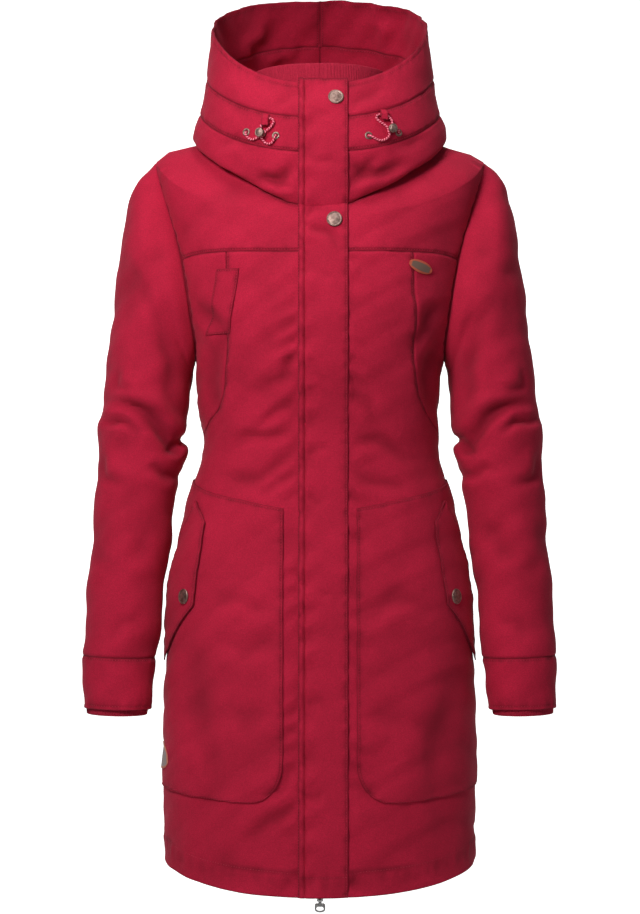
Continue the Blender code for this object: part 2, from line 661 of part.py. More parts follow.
def placket(cloth):
    """A long double strip from the hem to just over the hood's edge, arched over the zip."""
    xs = np.linspace(PLACKET_SEWN_X, PLACKET_FREE_X, 5)
    point, out = centre_front(xs, HOOD_LOW_LEVELS[1:] + HOOD_CHANNEL_LEVELS[1:] + HOOD_BAND_LEVELS[1:])
    top = point[-1:] + (point[-1:] - point[-2:-1]) * (PLACKET_TOP_RISE / (point[-1, 0, 2] - point[-2, 0, 2]))
    point = np.concatenate([point, top])
    out = np.concatenate([out, out[-1:]])
    across = np.linspace(-1.0, 1.0, 5)[None, :]
    foot = 1.0 - ramp(PLACKET_FOOT, PLACKET_FOOT + PLACKET_FOOT_RUN, point[..., 2])
    low = SEAM + (PLACKET_ARCH + PLACKET_FOOT_ARCH * foot) * (1 - across ** 2)
    return lifted("placket", point, out, low, low + PLACKET_CLOTH, cloth)


def patch_pockets(cloth):
    """Patch pockets that run from beside the placket to the side seam, round at the lower front."""
    rows = np.array(POCKET_ROWS)
    corner = np.clip((rows[0] + POCKET_CORNER - rows) / POCKET_CORNER, 0.0, 1.0)
    front_x = POCKET_FRONT_X + POCKET_CORNER * (1 - np.sqrt(1 - corner ** 2))
    front_theta = angle_at(front_x, read_table(BODY_COLUMNS, BODY_RINGS, rows)["half_width"])
    grid = spread(zip_edge(rows), np.full(len(rows), 90.0), FRONT_COLUMNS)
    second = np.maximum(grid[:, 2], front_theta + 0.4 * (grid[:, 3] - front_theta))
    side = np.full(len(rows), POCKET_SIDE)
    theta = np.concatenate([front_theta[:, None], second[:, None], grid[:, 3:-1], side[:, None]], 1)
    level = np.broadcast_to(rows[:, None], theta.shape)
    top = np.array(POCKET_TOP)
    theta = np.concatenate([theta, theta[-1:]])
    level = np.concatenate([level, np.interp(theta[-1:], top[:, 0], top[:, 1])])
    for side, tag in ((1, "l"), (-1, "r")):
        panel("pocket_" + tag, body, theta, level, cloth, low=SEAM, high=SEAM + POCKET_CLOTH, dv=0.5, side=side)


def pocket_flaps(cloth):
    """Tall pointed flaps over the side pockets."""
    rows = np.array(FLAP_ROWS)
    theta = spread(rows[:, 1], rows[:, 2], 6)
    level = np.broadcast_to(rows[:, :1], theta.shape)
    for side, tag in ((1, "l"), (-1, "r")):
        panel("pocket_flap_" + tag, body, theta, level, cloth, low=FLAP_LIFT, high=FLAP_LIFT + FLAP_CLOTH,
              dv=0.5, side=side)


def chest_welt(cloth):
    """A slanted strip between two short edges given by x and z."""
    across = np.linspace(0.0, 1.0, 4)[None, :, None]
    up = np.linspace(0.0, 1.0, 7)[:, None, None]
    foot = np.array(WELT_FOOT[0]) * (1 - across) + np.array(WELT_FOOT[1]) * across
    top = np.array(WELT_TOP[0]) * (1 - across) + np.array(WELT_TOP[1]) * across
    place = foot * (1 - up) + top * up
    point, out = on_body(place[..., 0], place[..., 1])
    lifted("chest_welt", point, out, SEAM, SEAM + WELT_CLOTH, cloth)


def almond(columns, rows):
    """A pointed oval's grid in -1 to 1: rows across it shrink towards both ends."""
    u = np.linspace(-1.0, 1.0, columns)[None, :]
    v = np.linspace(-1.0, 1.0, rows)[:, None]
    width = np.sqrt(np.clip(1.0 - (0.97 * u) ** 2, 0.0, 1.0))
    return np.broadcast_arrays(u, v * width)


def chest_badge(leather):
    """A bare leather oval, tilted, on the wearer's left chest."""
    u, v = almond(9, 5)
    tilt = math.radians(BADGE_TILT)
    along, over = u * BADGE_HALF_SIZE[0], v * BADGE_HALF_SIZE[1]
    x = BADGE_CENTRE[0] + along * math.cos(tilt) - over * math.sin(tilt)
    z = BADGE_CENTRE[1] + along * math.sin(tilt) + over * math.cos(tilt)
    point, out = on_body(x, z)
    lifted("chest_badge", point, out, SEAM, SEAM + LEATHER, leather)


def side_label(cloth):
    """A bare woven almond, folded round the wearer's right side over the pocket's edge."""
    u, v = almond(11, 5)
    theta = LABEL_CENTRE[0] + u * LABEL_HALF_ANGLE
    level = LABEL_CENTRE[1] + v * LABEL_HALF_HEIGHT
    point = body(theta, level)
    out = normals(body, theta, level, dv=0.5)
    low = SEAM + (POCKET_CLOTH + SEAM) * ramp(-94.0, -89.0, theta)
    lifted("side_label", point, out, low, low + LABEL_CLOTH, cloth)


# ---------------------------------------------------------------- hardware

def studs(metal):
    """Domed press-stud caps on the placket and the flaps."""
    lift = SEAM + PLACKET_ARCH + PLACKET_CLOTH + SEAM
    for name, locate_on, (x, z) in (("stud_top", on_hood, STUD_TOP), ("stud_chest", on_body, STUD_CHEST)):
        point, out = locate_on(np.array([x]), np.array([z]))
        turned(name, STUD_PROFILE, standing_on(point[0], out[0], lift), metal)
    theta, level = np.array([STUD_FLAP[0]]), np.array([STUD_FLAP[1]])
    point = body(theta, level)[0]
    out = normals(body, theta, level, dv=0.5)[0]
    for side, tag in ((1, "l"), (-1, "r")):
        flip = np.array([side, 1.0, 1.0])
        place = standing_on(point * flip, out * flip, FLAP_LIFT + FLAP_CLOTH + SEAM)
        turned("stud_flap_" + tag, STUD_PROFILE, place, metal)


def box_points(low, high):
    """The corners and faces of an upright box."""
    corners = [(x, y, z) for z in (low[2], high[2]) for y in (low[1], high[1]) for x in (low[0], high[0])]
    faces = [(0, 2, 3, 1), (4, 5, 7, 6), (0, 1, 5, 4), (1, 3, 7, 5), (3, 2, 6, 7), (2, 0, 4, 6)]
    return corners, faces


def join_cutters(base, others, operation):
    """Union or difference of a solid with helper solids, which are then removed."""
    for other in others:
        change = base.modifiers.new(operation.lower(), "BOOLEAN")
        change.operation = operation
        change.solver = "EXACT"
        change.object = other
    shape = bpy.data.meshes.new_from_object(base.evaluated_get(bpy.context.evaluated_depsgraph_get()))
    base.modifiers.clear()
    base.data = shape
    for other in others:
        bpy.data.objects.remove(other)


def zip_pieces(tape_cloth, metal):
    """Tape with the chain raised on it, the bottom slider with two ears and a pin, and its pull."""
    back = -CLOTH - 2 * SEAM
    section = ((-ZIP_TAPE_HALF, back), (-ZIP_CHAIN_HALF, back), (-ZIP_CHAIN_HALF, back + ZIP_CHAIN),
               (ZIP_CHAIN_HALF, back + ZIP_CHAIN), (ZIP_CHAIN_HALF, back), (ZIP_TAPE_HALF, back),
               (ZIP_TAPE_HALF, back - ZIP_TAPE), (-ZIP_TAPE_HALF, back - ZIP_TAPE))
    levels = HOOD_LOW_LEVELS[1:] + HOOD_CHANNEL_LEVELS[1:] + (6.5, ZIP_TOP_LEVEL)
    point, out = centre_front([x for x, _ in section], levels)
    lift = np.array([height for _, height in section])[None, :, None]
    points = (point + out * lift).reshape(-1, 3)
    sides = len(section)
    rows = len(point)
    faces = []
    for i in range(rows - 1):
        for k in range(sides):
            a, b = i * sides + k, i * sides + (k + 1) % sides
            faces.append((a, b, b + sides, a + sides))
    last = (rows - 1) * sides
    faces += [(0, 1, 6, 7), (1, 4, 5, 6), (1, 2, 3, 4)]
    faces += [tuple(last + k for k in face) for face in ((0, 7, 6, 1), (1, 6, 5, 4), (1, 4, 3, 2))]
    solid("zip", points, faces, tape_cloth)

    face_y = point[0, 2, 1] - (back + ZIP_CHAIN + 2 * SEAM)
    axis_z = PLACKET_FOOT - PULL_KNUCKLE_RADIUS - KNUCKLE_GAP
    axis_y = face_y - SLIDER_THICKNESS / 2
    slider = solid("zip_slider", *box_points((-SLIDER_HALF_WIDTH, face_y - SLIDER_THICKNESS, PLACKET_FOOT),
                                            (SLIDER_HALF_WIDTH, face_y, PLACKET_FOOT + SLIDER_LENGTH)), metal)
    helpers = []
    for x in (-1, 1):
        low_x, high_x = sorted((x * EAR_INNER, x * EAR_OUTER))
        helpers.append(solid("ear", *box_points((low_x, axis_y - EAR_HALF, axis_z - EAR_HALF),
                                                (high_x, axis_y + EAR_HALF, PLACKET_FOOT + 1.5)), metal))
    across = Matrix.Rotation(math.radians(90), 4, "Y")
    helpers.append(turned("pin", ((0.0, -EAR_OUTER + SEAM), (PIN_RADIUS, -EAR_OUTER + SEAM),
                                  (PIN_RADIUS, EAR_OUTER - SEAM), (0.0, EAR_OUTER - SEAM)),
                          Matrix.Translation(Vector((0.0, axis_y, axis_z)) * MM) @ across, metal, 12))
    bpy.context.view_layer.update()
    join_cutters(slider, helpers, "UNION")

    pull = turned("zip_pull", ((PULL_EYE_RADIUS, -PULL_KNUCKLE_HALF), (PULL_KNUCKLE_RADIUS, -PULL_KNUCKLE_HALF),
                               (PULL_KNUCKLE_RADIUS, PULL_KNUCKLE_HALF), (PULL_EYE_RADIUS, PULL_KNUCKLE_HALF)),
                  Matrix.Identity(4), metal, 16)
    pull.data.transform(across)
    blade_low = -PULL_LENGTH + 1.0
    half = PULL_THICKNESS / 2
    neck = solid("neck", *box_points((0.3 - PULL_KNUCKLE_HALF, 0.1 - half, PULL_NECK_FOOT),
                                     (PULL_KNUCKLE_HALF - 0.3, half - 0.1, PULL_NECK_TOP)), metal)
    blade = solid("blade", *blade_outline(PULL_HALF_WIDTH, PULL_BLADE_TOP, blade_low, half), metal)
    window = solid("window", *blade_outline(PULL_HALF_WIDTH - PULL_FRAME, PULL_WINDOW_TOP,
                                            blade_low + PULL_FRAME, half + 1.0), metal)
    bpy.context.view_layer.update()
    join_cutters(pull, [neck, blade], "UNION")
    join_cutters(pull, [window], "DIFFERENCE")
    pull.location = Vector((0.0, axis_y, axis_z)) * MM


def blade_outline(half_width, top, foot, half_depth):
    """A plate with straight top corners cut off and a round foot, extruded through its depth."""
    outline = [(-half_width, top - PULL_CORNER), (-half_width + PULL_CORNER, top),
               (half_width - PULL_CORNER, top), (half_width, top - PULL_CORNER)]
    for i in range(9):
        angle = math.pi * i / 8
        outline.append((half_width * math.cos(angle), foot + half_width * PULL_FOOT_ROUND * (1 - math.sin(angle))))
    count = len(outline)
    points = [(x, y, z) for y in (-half_depth, half_depth) for x, z in outline]
    faces = [tuple(range(count)), tuple(range(2 * count - 1, count - 1, -1))]
    faces += [(i, (i + 1) % count, count + (i + 1) % count, count + i) for i in range(count)]
    return points, faces


def drawcord_hardware(metal, cloth):
    """Eyelets, cord tabs, lock barrels and their sprung buttons."""
    for name, (x, z) in EYELETS.items():
        point, out = on_hood(np.array([x]), np.array([z]))
        turned(name, EYELET_PROFILE, standing_on(point[0], out[0], SEAM), metal, 12)
    for name, (x, top, foot) in TABS.items():
        zs = np.linspace(foot, top, 6)
        xs = np.array([x - TAB_HALF_WIDTH, x, x + TAB_HALF_WIDTH])
        grid_x, grid_z = np.broadcast_arrays(xs[None, :], zs[:, None])
        point, out = on_hood(grid_x, grid_z)
        rise = ramp(0.0, 0.45, (top - grid_z) / (top - foot))
        low = SEAM + TAB_STAND * rise
        lifted(name, point, out, low, low + TAB_CLOTH, cloth)
    for name, lock in LOCKS.items():
        point, _ = on_hood(np.array([lock["base"][0]]), np.array([lock["base"][1]]))
        place = standing_on(point[0], lock["axis"], LOCK_STAND)
        turned(name, LOCK_PROFILE, place, metal)
        turned(lock["button"], BUTTON_PROFILE, place, metal)


def cord_points(route):
    """A cord's route on one smooth curve over the hood, with a point every two diameters."""
    route = np.array(route)
    point, out = on_hood(route[:, 0], route[:, 1])
    knots = point + out * route[:, 2:]
    run = np.concatenate([[0.0], np.cumsum(np.linalg.norm(np.diff(knots, axis=0), axis=1))])
    count = max(4, int(round(run[-1] / (CORD_SPACING / 2))) + 1)
    at = np.linspace(0.0, run[-1], count)
    slope = np.gradient(knots, run, axis=0)
    i = np.clip(np.searchsorted(run, at, side="right") - 1, 0, len(run) - 2)
    span = (run[i + 1] - run[i])[:, None]
    t = ((at - run[i]) / span[:, 0])[:, None]
    return ((1 + 2 * t) * (1 - t) ** 2 * knots[i] + t * (1 - t) ** 2 * span * slope[i]
            + t * t * (3 - 2 * t) * knots[i + 1] + t * t * (t - 1) * span * slope[i + 1])


def drawcords(cord):
    """Round cords, one curve for each stretch."""
    for name, route in CORD_ROUTES.items():
        points = cord_points(route) * MM
        curve = bpy.data.curves.new(name, "CURVE")
        curve.dimensions = "3D"
        curve.bevel_depth = CORD_DIAMETER / 2 * MM
        curve.bevel_resolution = 2
        curve.use_fill_caps = True
        spline = curve.splines.new("POLY")
        spline.points.add(len(points) - 1)
        for knot, place in zip(spline.points, points):
            knot.co = (*place, 1.0)
        curve.materials.append(cord)
        bpy.context.scene.collection.objects.link(bpy.data.objects.new(name, curve))


def main():
    for old in list(bpy.data.objects):
        bpy.data.objects.remove(old)
    red = material("cotton canvas", (0.42, 0.016, 0.04), 0.85)
    knit = material("rib knit", (0.36, 0.014, 0.035), 0.9)
    metal = material("antique nickel", (0.25, 0.21, 0.18), 0.4, 1.0)
    zinc = material("zinc", (0.55, 0.54, 0.53), 0.35, 1.0)
    tape = material("zip tape", (0.33, 0.012, 0.03), 0.8)
    leather = material("leather", (0.36, 0.15, 0.10), 0.6)
    label = material("woven label", (0.37, 0.29, 0.27), 0.8)
    cord = material("braided cord", (0.80, 0.25, 0.33), 0.8)
    body_panels(red)
    sleeve_pieces(red, knit)
    hood_pieces(red, knit)
    placket(red)
    patch_pockets(red)
    pocket_flaps(red)
    chest_welt(red)
    chest_badge(leather)
    side_label(label)
    studs(metal)
    zip_pieces(tape, zinc)
    drawcord_hardware(metal, red)
    drawcords(cord)


main()
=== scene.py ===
"""A women's hooded canvas parka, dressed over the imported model.

Run it as a script. Lengths in the tables are millimetres, the meshes are in metres, +Z is up, the
front faces -Y and the wearer's left is +X. Every cloth piece is cut from one of four surfaces (body,
sleeve, hood and rib collar), which are stacks of rings read from short tables.
"""

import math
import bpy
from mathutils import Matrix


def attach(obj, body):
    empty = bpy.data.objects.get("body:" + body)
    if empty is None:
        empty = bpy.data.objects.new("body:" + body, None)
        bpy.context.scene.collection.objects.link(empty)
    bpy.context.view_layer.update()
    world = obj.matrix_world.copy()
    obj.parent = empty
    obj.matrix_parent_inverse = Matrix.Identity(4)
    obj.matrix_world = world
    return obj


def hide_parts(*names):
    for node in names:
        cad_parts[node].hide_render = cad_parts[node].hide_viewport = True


bl_info = {
    "name": "Hooded parka",
    "version": (1, 0, 0),
    "blender": (4, 5, 0),
    "location": "View3D > Sidebar > Parka",
    "description": "Builds the cloth, trims and stage of a hooded parka",
    "category": "Object",
}

import bpy
import numpy as np
from bpy.props import FloatProperty, FloatVectorProperty, PointerProperty
from mathutils import Matrix

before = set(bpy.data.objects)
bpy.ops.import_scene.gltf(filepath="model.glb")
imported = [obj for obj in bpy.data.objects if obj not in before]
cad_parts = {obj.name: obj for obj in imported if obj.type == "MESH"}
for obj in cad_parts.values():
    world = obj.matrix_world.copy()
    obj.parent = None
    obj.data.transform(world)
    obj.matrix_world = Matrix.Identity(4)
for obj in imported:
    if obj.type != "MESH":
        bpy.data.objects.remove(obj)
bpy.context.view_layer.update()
MM = 0.001

# ---------------------------------------------------------------- tables

BODY_COLUMNS = ("height", "half_width", "front", "back", "front_drop", "back_drop")
BODY_RINGS = (
    (-832.0, 183.5, 136.0, 142.0, -33.0, -44.0),
    (-760.0, 184.0, 135.0, 142.0, -17.0, -22.0),
    (-680.0, 182.5, 133.0, 141.0, -5.0, -7.0),
    (-600.0, 179.0, 130.0, 138.0, 0.0, 0.0),
    (-530.0, 175.0, 127.0, 133.0, 0.0, 0.0),
    (-460.0, 165.0, 121.0, 121.0, 0.0, 0.0),
    (-400.0, 151.0, 115.0, 103.0, 0.0, 0.0),
    (-345.0, 138.5, 112.0, 91.0, 0.0, 0.0),
    (-300.0, 141.0, 118.0, 94.0, 0.0, 0.0),
    (-250.0, 146.0, 131.0, 101.0, 0.0, 0.0),
    (-190.0, 163.0, 136.0, 108.0, 0.0, 0.0),
    (-134.0, 175.0, 131.0, 113.0, -3.0, 0.0),
    (-98.0, 181.0, 127.0, 114.0, -18.0, 0.0),
    (-60.0, 187.0, 123.0, 111.0, -42.0, 0.0),
    (-14.0, 193.0, 119.0, 96.0, -72.0, 2.0),
    (17.0, 105.0, 114.0, 72.0, -91.0, 6.0),
)
ROUNDNESS = 0.86
FRONT_DROP_POWER = 1.3
BACK_DROP_POWER = 2.0
HEM, SHOULDER, NECK = -832.0, -14.0, 17.0

ARMHOLE_FOOT = -250.0
ARMHOLE_FRONT, ARMHOLE_SCOOP, ARMHOLE_BACK = 25.0, 2.0, 22.0

SLEEVE_COLUMNS = ("station", "outer_x", "outer_z", "inner_x", "inner_z", "centre_y", "half_depth")
SLEEVE_RINGS = (
    (0, 193.0, -14.0, 146.0, -250.0, 0.0, 60.0),
    (1, 217.0, -42.0, 151.5, -262.0, 0.0, 73.0),
    (2, 231.5, -92.0, 153.0, -270.0, -1.0, 75.0),
    (3, 241.0, -165.0, 153.5, -281.0, -3.0, 72.0),
    (4, 249.0, -232.0, 154.0, -293.0, -6.0, 67.0),
    (5, 254.0, -285.0, 154.5, -308.0, -8.0, 63.0),
    (6, 256.0, -306.0, 156.0, -323.0, -9.0, 60.0),
    (7, 262.0, -325.0, 162.0, -339.0, -10.0, 61.0),
    (8, 261.5, -352.0, 158.0, -357.0, -10.0, 57.0),
    (9, 262.5, -386.0, 164.5, -384.0, -11.0, 57.0),
    (10, 265.0, -418.0, 171.0, -418.0, -13.0, 54.0),
    (11, 268.5, -460.0, 176.0, -460.0, -15.0, 52.0),
    (12, 273.0, -531.0, 184.0, -531.0, -20.0, 49.0),
    (13, 277.0, -594.0, 190.5, -597.0, -25.0, 46.0),
    (14, 277.0, -655.0, 198.0, -657.0, -29.0, 43.0),
)
CUFF_SEAM, CUFF_EDGE = 13.0, 14.0
RIB_CUFF_TOP, RIB_CUFF_LENGTH, RIB_CUFF_TAPER = 13.72, 24.0, 2.6

HOOD_COLUMNS = ("level", "half_width", "front", "back", "height", "front_drop", "back_drop", "back_power")
HOOD_RINGS = (
    (0, 105.0, 114.0, 72.0, 17.3, -91.0, 6.2, 2.0),
    (1, 126.0, 115.5, 100.0, 12.5, -78.0, -9.0, 4.0),
    (2, 144.0, 117.0, 122.0, 9.0, -62.0, -60.0, 4.0),
    (3, 149.5, 118.0, 146.0, 15.0, -58.0, -100.0, 4.0),
    (4, 148.0, 118.5, 178.0, 26.0, -52.0, -40.0, 4.0),
    (5, 142.0, 119.0, 184.0, 42.0, -54.0, 50.0, 1.6),
    (6, 134.5, 114.0, 160.0, 82.0, -54.0, 60.0, 1.1),
    (7, 127.5, 98.0, 122.0, 143.0, -74.0, 50.0, 0.85),
)
GUSSET_FROM = 157.5
CHANNEL_SEAM, BAND_SEAM, FACE_EDGE = 5.0, 6.0, 7.0

COLLAR_COLUMNS = ("level", "half_width", "front", "back", "height", "front_drop", "back_drop")
COLLAR_RINGS = (
    (0, 103.8, 108.2, 68.9, 14.2, -89.2, 4.2),
    (1, 93.0, 105.0, 66.0, 40.0, -62.0, 4.0),
    (2, 84.0, 96.0, 64.0, 66.0, -28.0, 2.0),
    (3, 79.0, 88.0, 62.0, 87.0, 6.0, -2.0),
)

ZIP_GAP = 7.0
YOKE_CENTRE = -119.0
BUST_FOOT = -338.0
BUST_SEAM = ((-338.4, 90.0), (-338.0, 85.0), (-330.0, 75.0), (-312.0, 60.0), (-291.0, 50.0), (-250.0, 45.0),
             (-208.0, 42.0), (-175.0, 37.0), (-119.0, 33.0))

PLACKET_SEWN_X, PLACKET_FREE_X = -25.0, 32.0
PLACKET_TOP_RISE = 3.0

POCKET_FRONT_X, POCKET_CORNER, POCKET_FOOT, POCKET_SIDE = 42.0, 40.0, -745.0, 88.0
POCKET_HEIGHT = 323.0
POCKET_TOP = ((10.0, -422.0), (21.0, -417.0), (33.0, -411.0), (51.0, -404.0), (72.0, -395.0), (90.0, -387.0))
FLAP_ROWS = (
    (-601.0, 85.5, 87.5), (-588.0, 77.0, 87.5), (-565.0, 66.5, 87.5), (-549.0, 59.5, 87.5), (-533.0, 52.5, 87.5),
    (-490.0, 51.0, 86.0), (-455.0, 50.5, 77.0), (-438.0, 51.0, 71.0), (-414.0, 62.5, 65.0),
)

WELT_TOP = ((-118.5, -146.0), (-92.0, -146.0))
WELT_FOOT = ((-131.0, -221.0), (-104.5, -221.0))
BADGE_CENTRE, BADGE_HALF_SIZE, BADGE_TILT = (115.5, -143.5), (14.0, 7.0), -22.0
LABEL_CENTRE, LABEL_HALF_ANGLE, LABEL_HALF_HEIGHT = (-84.0, -711.0), 15.0, 15.0

STUD_TOP, STUD_CHEST, STUD_FLAP = (18.0, 49.5), (16.3, -90.8), (59.5, -524.0)
EYELETS = {"eyelet_r_out": (-84.7, 11.7), "eyelet_r_in": (-50.7, 6.6),
           "eyelet_l_in": (55.7, 6.7), "eyelet_l_out": (90.3, 11.4)}
TABS = {"cord_tab_r": (-61.8, 31.5, 17.5), "cord_tab_l": (72.4, 37.5, 24.5)}
TAB_HALF_WIDTH, TAB_STAND = 3.9, 4.2
LOCKS = {"r": ((-65.5, 9.0), (-0.40, -0.91, 0.10)), "l": ((81.0, 14.5), (0.30, -0.95, 0.10))}
LOCK_STAND = 1.6

# One drawcord a side: out of an eyelet, through the lock, round the tab's loop, back and in again.
CORD_DIAMETER = 2.5
CORD_ROUTES = {
    "r": ((-84.7, 11.7, 0.4), (-84.5, 11.2, 2.6), (-83.6, 8.2, 4.6), (-81.6, 4.8, 4.2), (-78.6, 2.6, 3.4),
          (-75.6, 2.2, 3.6), (-72.6, 3.2, 3.8), (-70.1, 4.9, 3.2), (-68.5, 10.0, 2.9), (-67.4, 14.6, 3.1),
          (-66.7, 17.5, 3.4), (-65.4, 20.6, 2.1), (-62.0, 24.3, 1.7), (-58.4, 26.4, 2.0), (-55.6, 26.2, 2.6),
          (-53.2, 24.2, 3.0), (-52.8, 21.4, 3.2), (-54.2, 18.0, 3.6), (-57.0, 14.6, 4.2), (-60.0, 12.2, 4.8),
          (-63.2, 8.0, 5.0), (-65.6, 3.4, 4.8), (-64.2, 0.4, 4.0), (-61.6, -2.2, 3.2), (-58.3, -3.3, 2.8),
          (-55.0, -2.2, 3.2), (-52.4, 0.6, 4.2), (-51.0, 3.6, 4.6), (-50.7, 6.2, 2.6), (-50.7, 6.6, 0.4)),
    "l": ((55.7, 6.7, 0.4), (56.0, 6.4, 2.6), (58.4, 5.0, 4.6), (61.8, 3.2, 4.2), (66.0, 1.4, 3.2),
          (70.5, 1.2, 3.0), (75.0, 3.2, 3.8), (78.0, 7.2, 4.8), (76.8, 11.8, 5.0), (75.2, 16.2, 5.0),
          (72.0, 19.6, 4.0), (68.0, 22.6, 3.0), (64.8, 25.8, 2.8), (63.8, 28.4, 2.6), (65.4, 30.4, 2.2),
          (68.6, 31.4, 1.8), (72.4, 31.4, 1.6), (76.2, 30.6, 1.8), (79.2, 27.8, 2.6), (81.0, 24.0, 4.2),
          (81.5, 20.0, 5.0), (83.6, 16.6, 5.2), (86.6, 13.8, 5.0), (88.6, 12.8, 4.6), (90.0, 11.8, 2.8),
          (90.3, 11.4, 0.4)),
}

# Creases: x and z of both ends, sag of the line, width and depth, and the side that shows it most:
# -1 the front, 1 the back, 0 both.
CREASE_COLUMNS = ("x0", "z0", "x1", "z1", "sag", "width", "depth", "side")
BODY_CREASES = (
    (-30, -247, -70, -290, 6, 7, 4.0, -1), (-30, -296, -82, -326, 5, 6, 3.2, -1),
    (-30, -337, -108, -351, -6, 7, 4.7, -1),
    (-30, -364, -114, -389, 8, 8, 5.4, -1), (-29, -380, -84, -404, 4, 6, 2.9, -1),
    (35, -272, 78, -322, -6, 8, 3.6, -1), (35, -342, 116, -368, 6, 8, 4.3, -1), (35, -377, 106, -399, -5, 7, 3.6, -1),
    (-128, -585, -48, -581, 5, 12, 3.2, -1), (-122, -521, -45, -536, -5, 10, 3.2, -1),
    (-114, -664, -48, -657, 5, 12, 2.7, -1),
    (48, -540, 130, -531, 6, 12, 4.0, -1), (50, -640, 140, -676, -8, 14, 3.2, -1),
    (-28, -712, -68, -758, 5, 7, 4.3, -1), (-28, -756, -98, -796, 7, 8, 4.3, -1),
    (36, -720, 72, -758, -5, 8, 3.1, -1),
    (-133, -226, -124, -332, 6, 10, 5.4, 0), (139, -216, 129, -332, -6, 10, 5.4, 0),
    (-146, -180, -106, -254, 8, 9, 4.7, -1), (147, -182, 112, -246, -8, 9, 4.7, -1),
    (-60, -250, -140, -320, 8, 12, 5.8, 1), (62, -262, 138, -330, -8, 12, 5.4, 1),
    (-90, -345, 30, -362, 8, 10, 5.4, 1),
    (-20, -392, 110, -372, -9, 11, 5.8, 1), (-120, -420, -40, -640, 14, 20, 6.1, 1),
    (36, -430, 88, -700, -12, 22, 6.5, 1),
    (-10, -480, -22, -800, 6, 20, 4.3, 1), (-150, -560, -128, -800, 6, 16, 4.3, 0),
    (152, -590, 132, -810, -6, 16, 4.3, 0),
    (-110, -60, -40, -140, 8, 14, 4.3, 1), (110, -66, 46, -150, -8, 14, 4.3, 1),
)
HOOD_CREASES = (
    (-74, -46, -27, -31, -4, 8, 9.8, -1), (34, -50, 106, -27, 4, 8, 9.8, -1), (-50, -58, -27, -45, 0, 6, 4.5, -1),
    (36, -34, 72, -20, 0, 7, 3.6, -1), (37, 38, 78, 62, 5, 6, 2.4, -1), (-50, 36, -27, 58, 3, 5, 2.1, -1),
    (-124, 2, -70, -10, 5, 8, 2.7, -1), (128, 4, 78, -12, -5, 8, 2.7, -1), (-112, 60, -84, 20, 4, 9, 2.1, -1),
    (-96, 120, -60, 172, 6, 9, 5.1, 1), (-70, 118, -24, 150, -4, 8, 3.9, 1), (84, 118, 66, 176, -6, 9, 4.8, 1),
    (20, 96, 78, 124, 6, 9, 4.5, 1), (-112, 60, -62, 100, 6, 10, 4.5, 1), (-86, 10, -20, -58, 9, 13, 6.0, 1),
    (92, 6, 24, -62, -9, 13, 6.0, 1), (-10, 30, 12, -70, 5, 12, 3.9, 1), (-64, 66, 60, 52, -9, 12, 3.9, 1),
)
SLEEVE_CREASES = (
    (241, -294, 157, -371, -13, 7.5, 9.0, 0), (258, -318, 208, -333, -5, 5.5, 6.3, 0),
    (240, -262, 221, -290, 4, 7, 3.6, 0),
    (260, -358, 226, -398, 8, 7, 4.2, 0), (156, -333, 182, -360, -4, 5.5, 6.3, 0),
    (162, -390, 204, -376, 4, 6.5, 4.5, 0),
    (175, -212, 163, -318, 5, 9, 3.9, 0), (186, -432, 236, -484, -7, 12, 3.0, 0),
    (198, -150, 176, -232, 6, 11, 3.6, 0),
    (262, -430, 240, -520, 6, 12, 2.4, 0), (206, -540, 252, -566, -5, 10, 2.2, 0),
    (232, -120, 216, -226, -5, 14, 2.7, 0),
    (184, -70, 204, -150, -6, 12, 2.4, 0),
)

# Distances from a cut edge, in mm, at which every grid has a row or column.
EDGE_STEPS = np.array([0.0, 0.35, 0.9, 1.6, 2.4, 3.4, 4.6, 6.0, 8.0])
# Depths of a tucked edge's two faces under its neighbour's surface.
TUCK_OUTER, TUCK_INNER = 1.5, 3.0
# Kinds of edge, each with its stitch line's distance from the edge, or 0 for none.
SEAM, TOPSTITCHED, RAW = ("seam", 0), ("seam", 2.6), ("free", 0)
HEM_EDGE, POCKET_EDGE = ("free", 29.0), ("free", 3.0)


# ---------------------------------------------------------------- curves and surfaces

def hermite(values, slope, i, t, step):
    """The cubic at share t between knots i and i + 1, from the values and slopes at both."""
    return ((1 + 2 * t) * (1 - t) ** 2 * values[i] + t * (1 - t) ** 2 * step * slope[i]
            + t * t * (3 - 2 * t) * values[i + 1] + t * t * (t - 1) * step * slope[i + 1])


def curve_through(knots, values, at):
    """A cubic through a table's values whose slope at each knot is the harmonic mean of its two rises."""
    knots, values, at = (np.asarray(a, float) for a in (knots, values, at))
    step = np.diff(knots)
    rise = np.diff(values) / step
    same = rise[:-1] * rise[1:] > 0
    total = np.where(same, rise[:-1] + rise[1:], 1.0)
    slope = np.concatenate([rise[:1], np.where(same, 2 * rise[:-1] * rise[1:] / total, 0.0), rise[-1:]])
    i = np.clip(np.searchsorted(knots, at, side="right") - 1, 0, len(step) - 1)
    return hermite(values, slope, i, (at - knots[i]) / step[i], step[i])


def read_table(columns, rows, at):
    """A dictionary of the table's columns, each read at the given values of its first column."""
    table = np.array(rows, float)
    return {name: curve_through(table[:, 0], table[:, i], at) for i, name in enumerate(columns)}


def ramp(low, high, at):
    """0 below low, 1 above high, and three squares less two cubes of the share between."""
    t = np.clip((np.asarray(at, float) - low) / (high - low), 0.0, 1.0)
    return t * t * (3 - 2 * t)


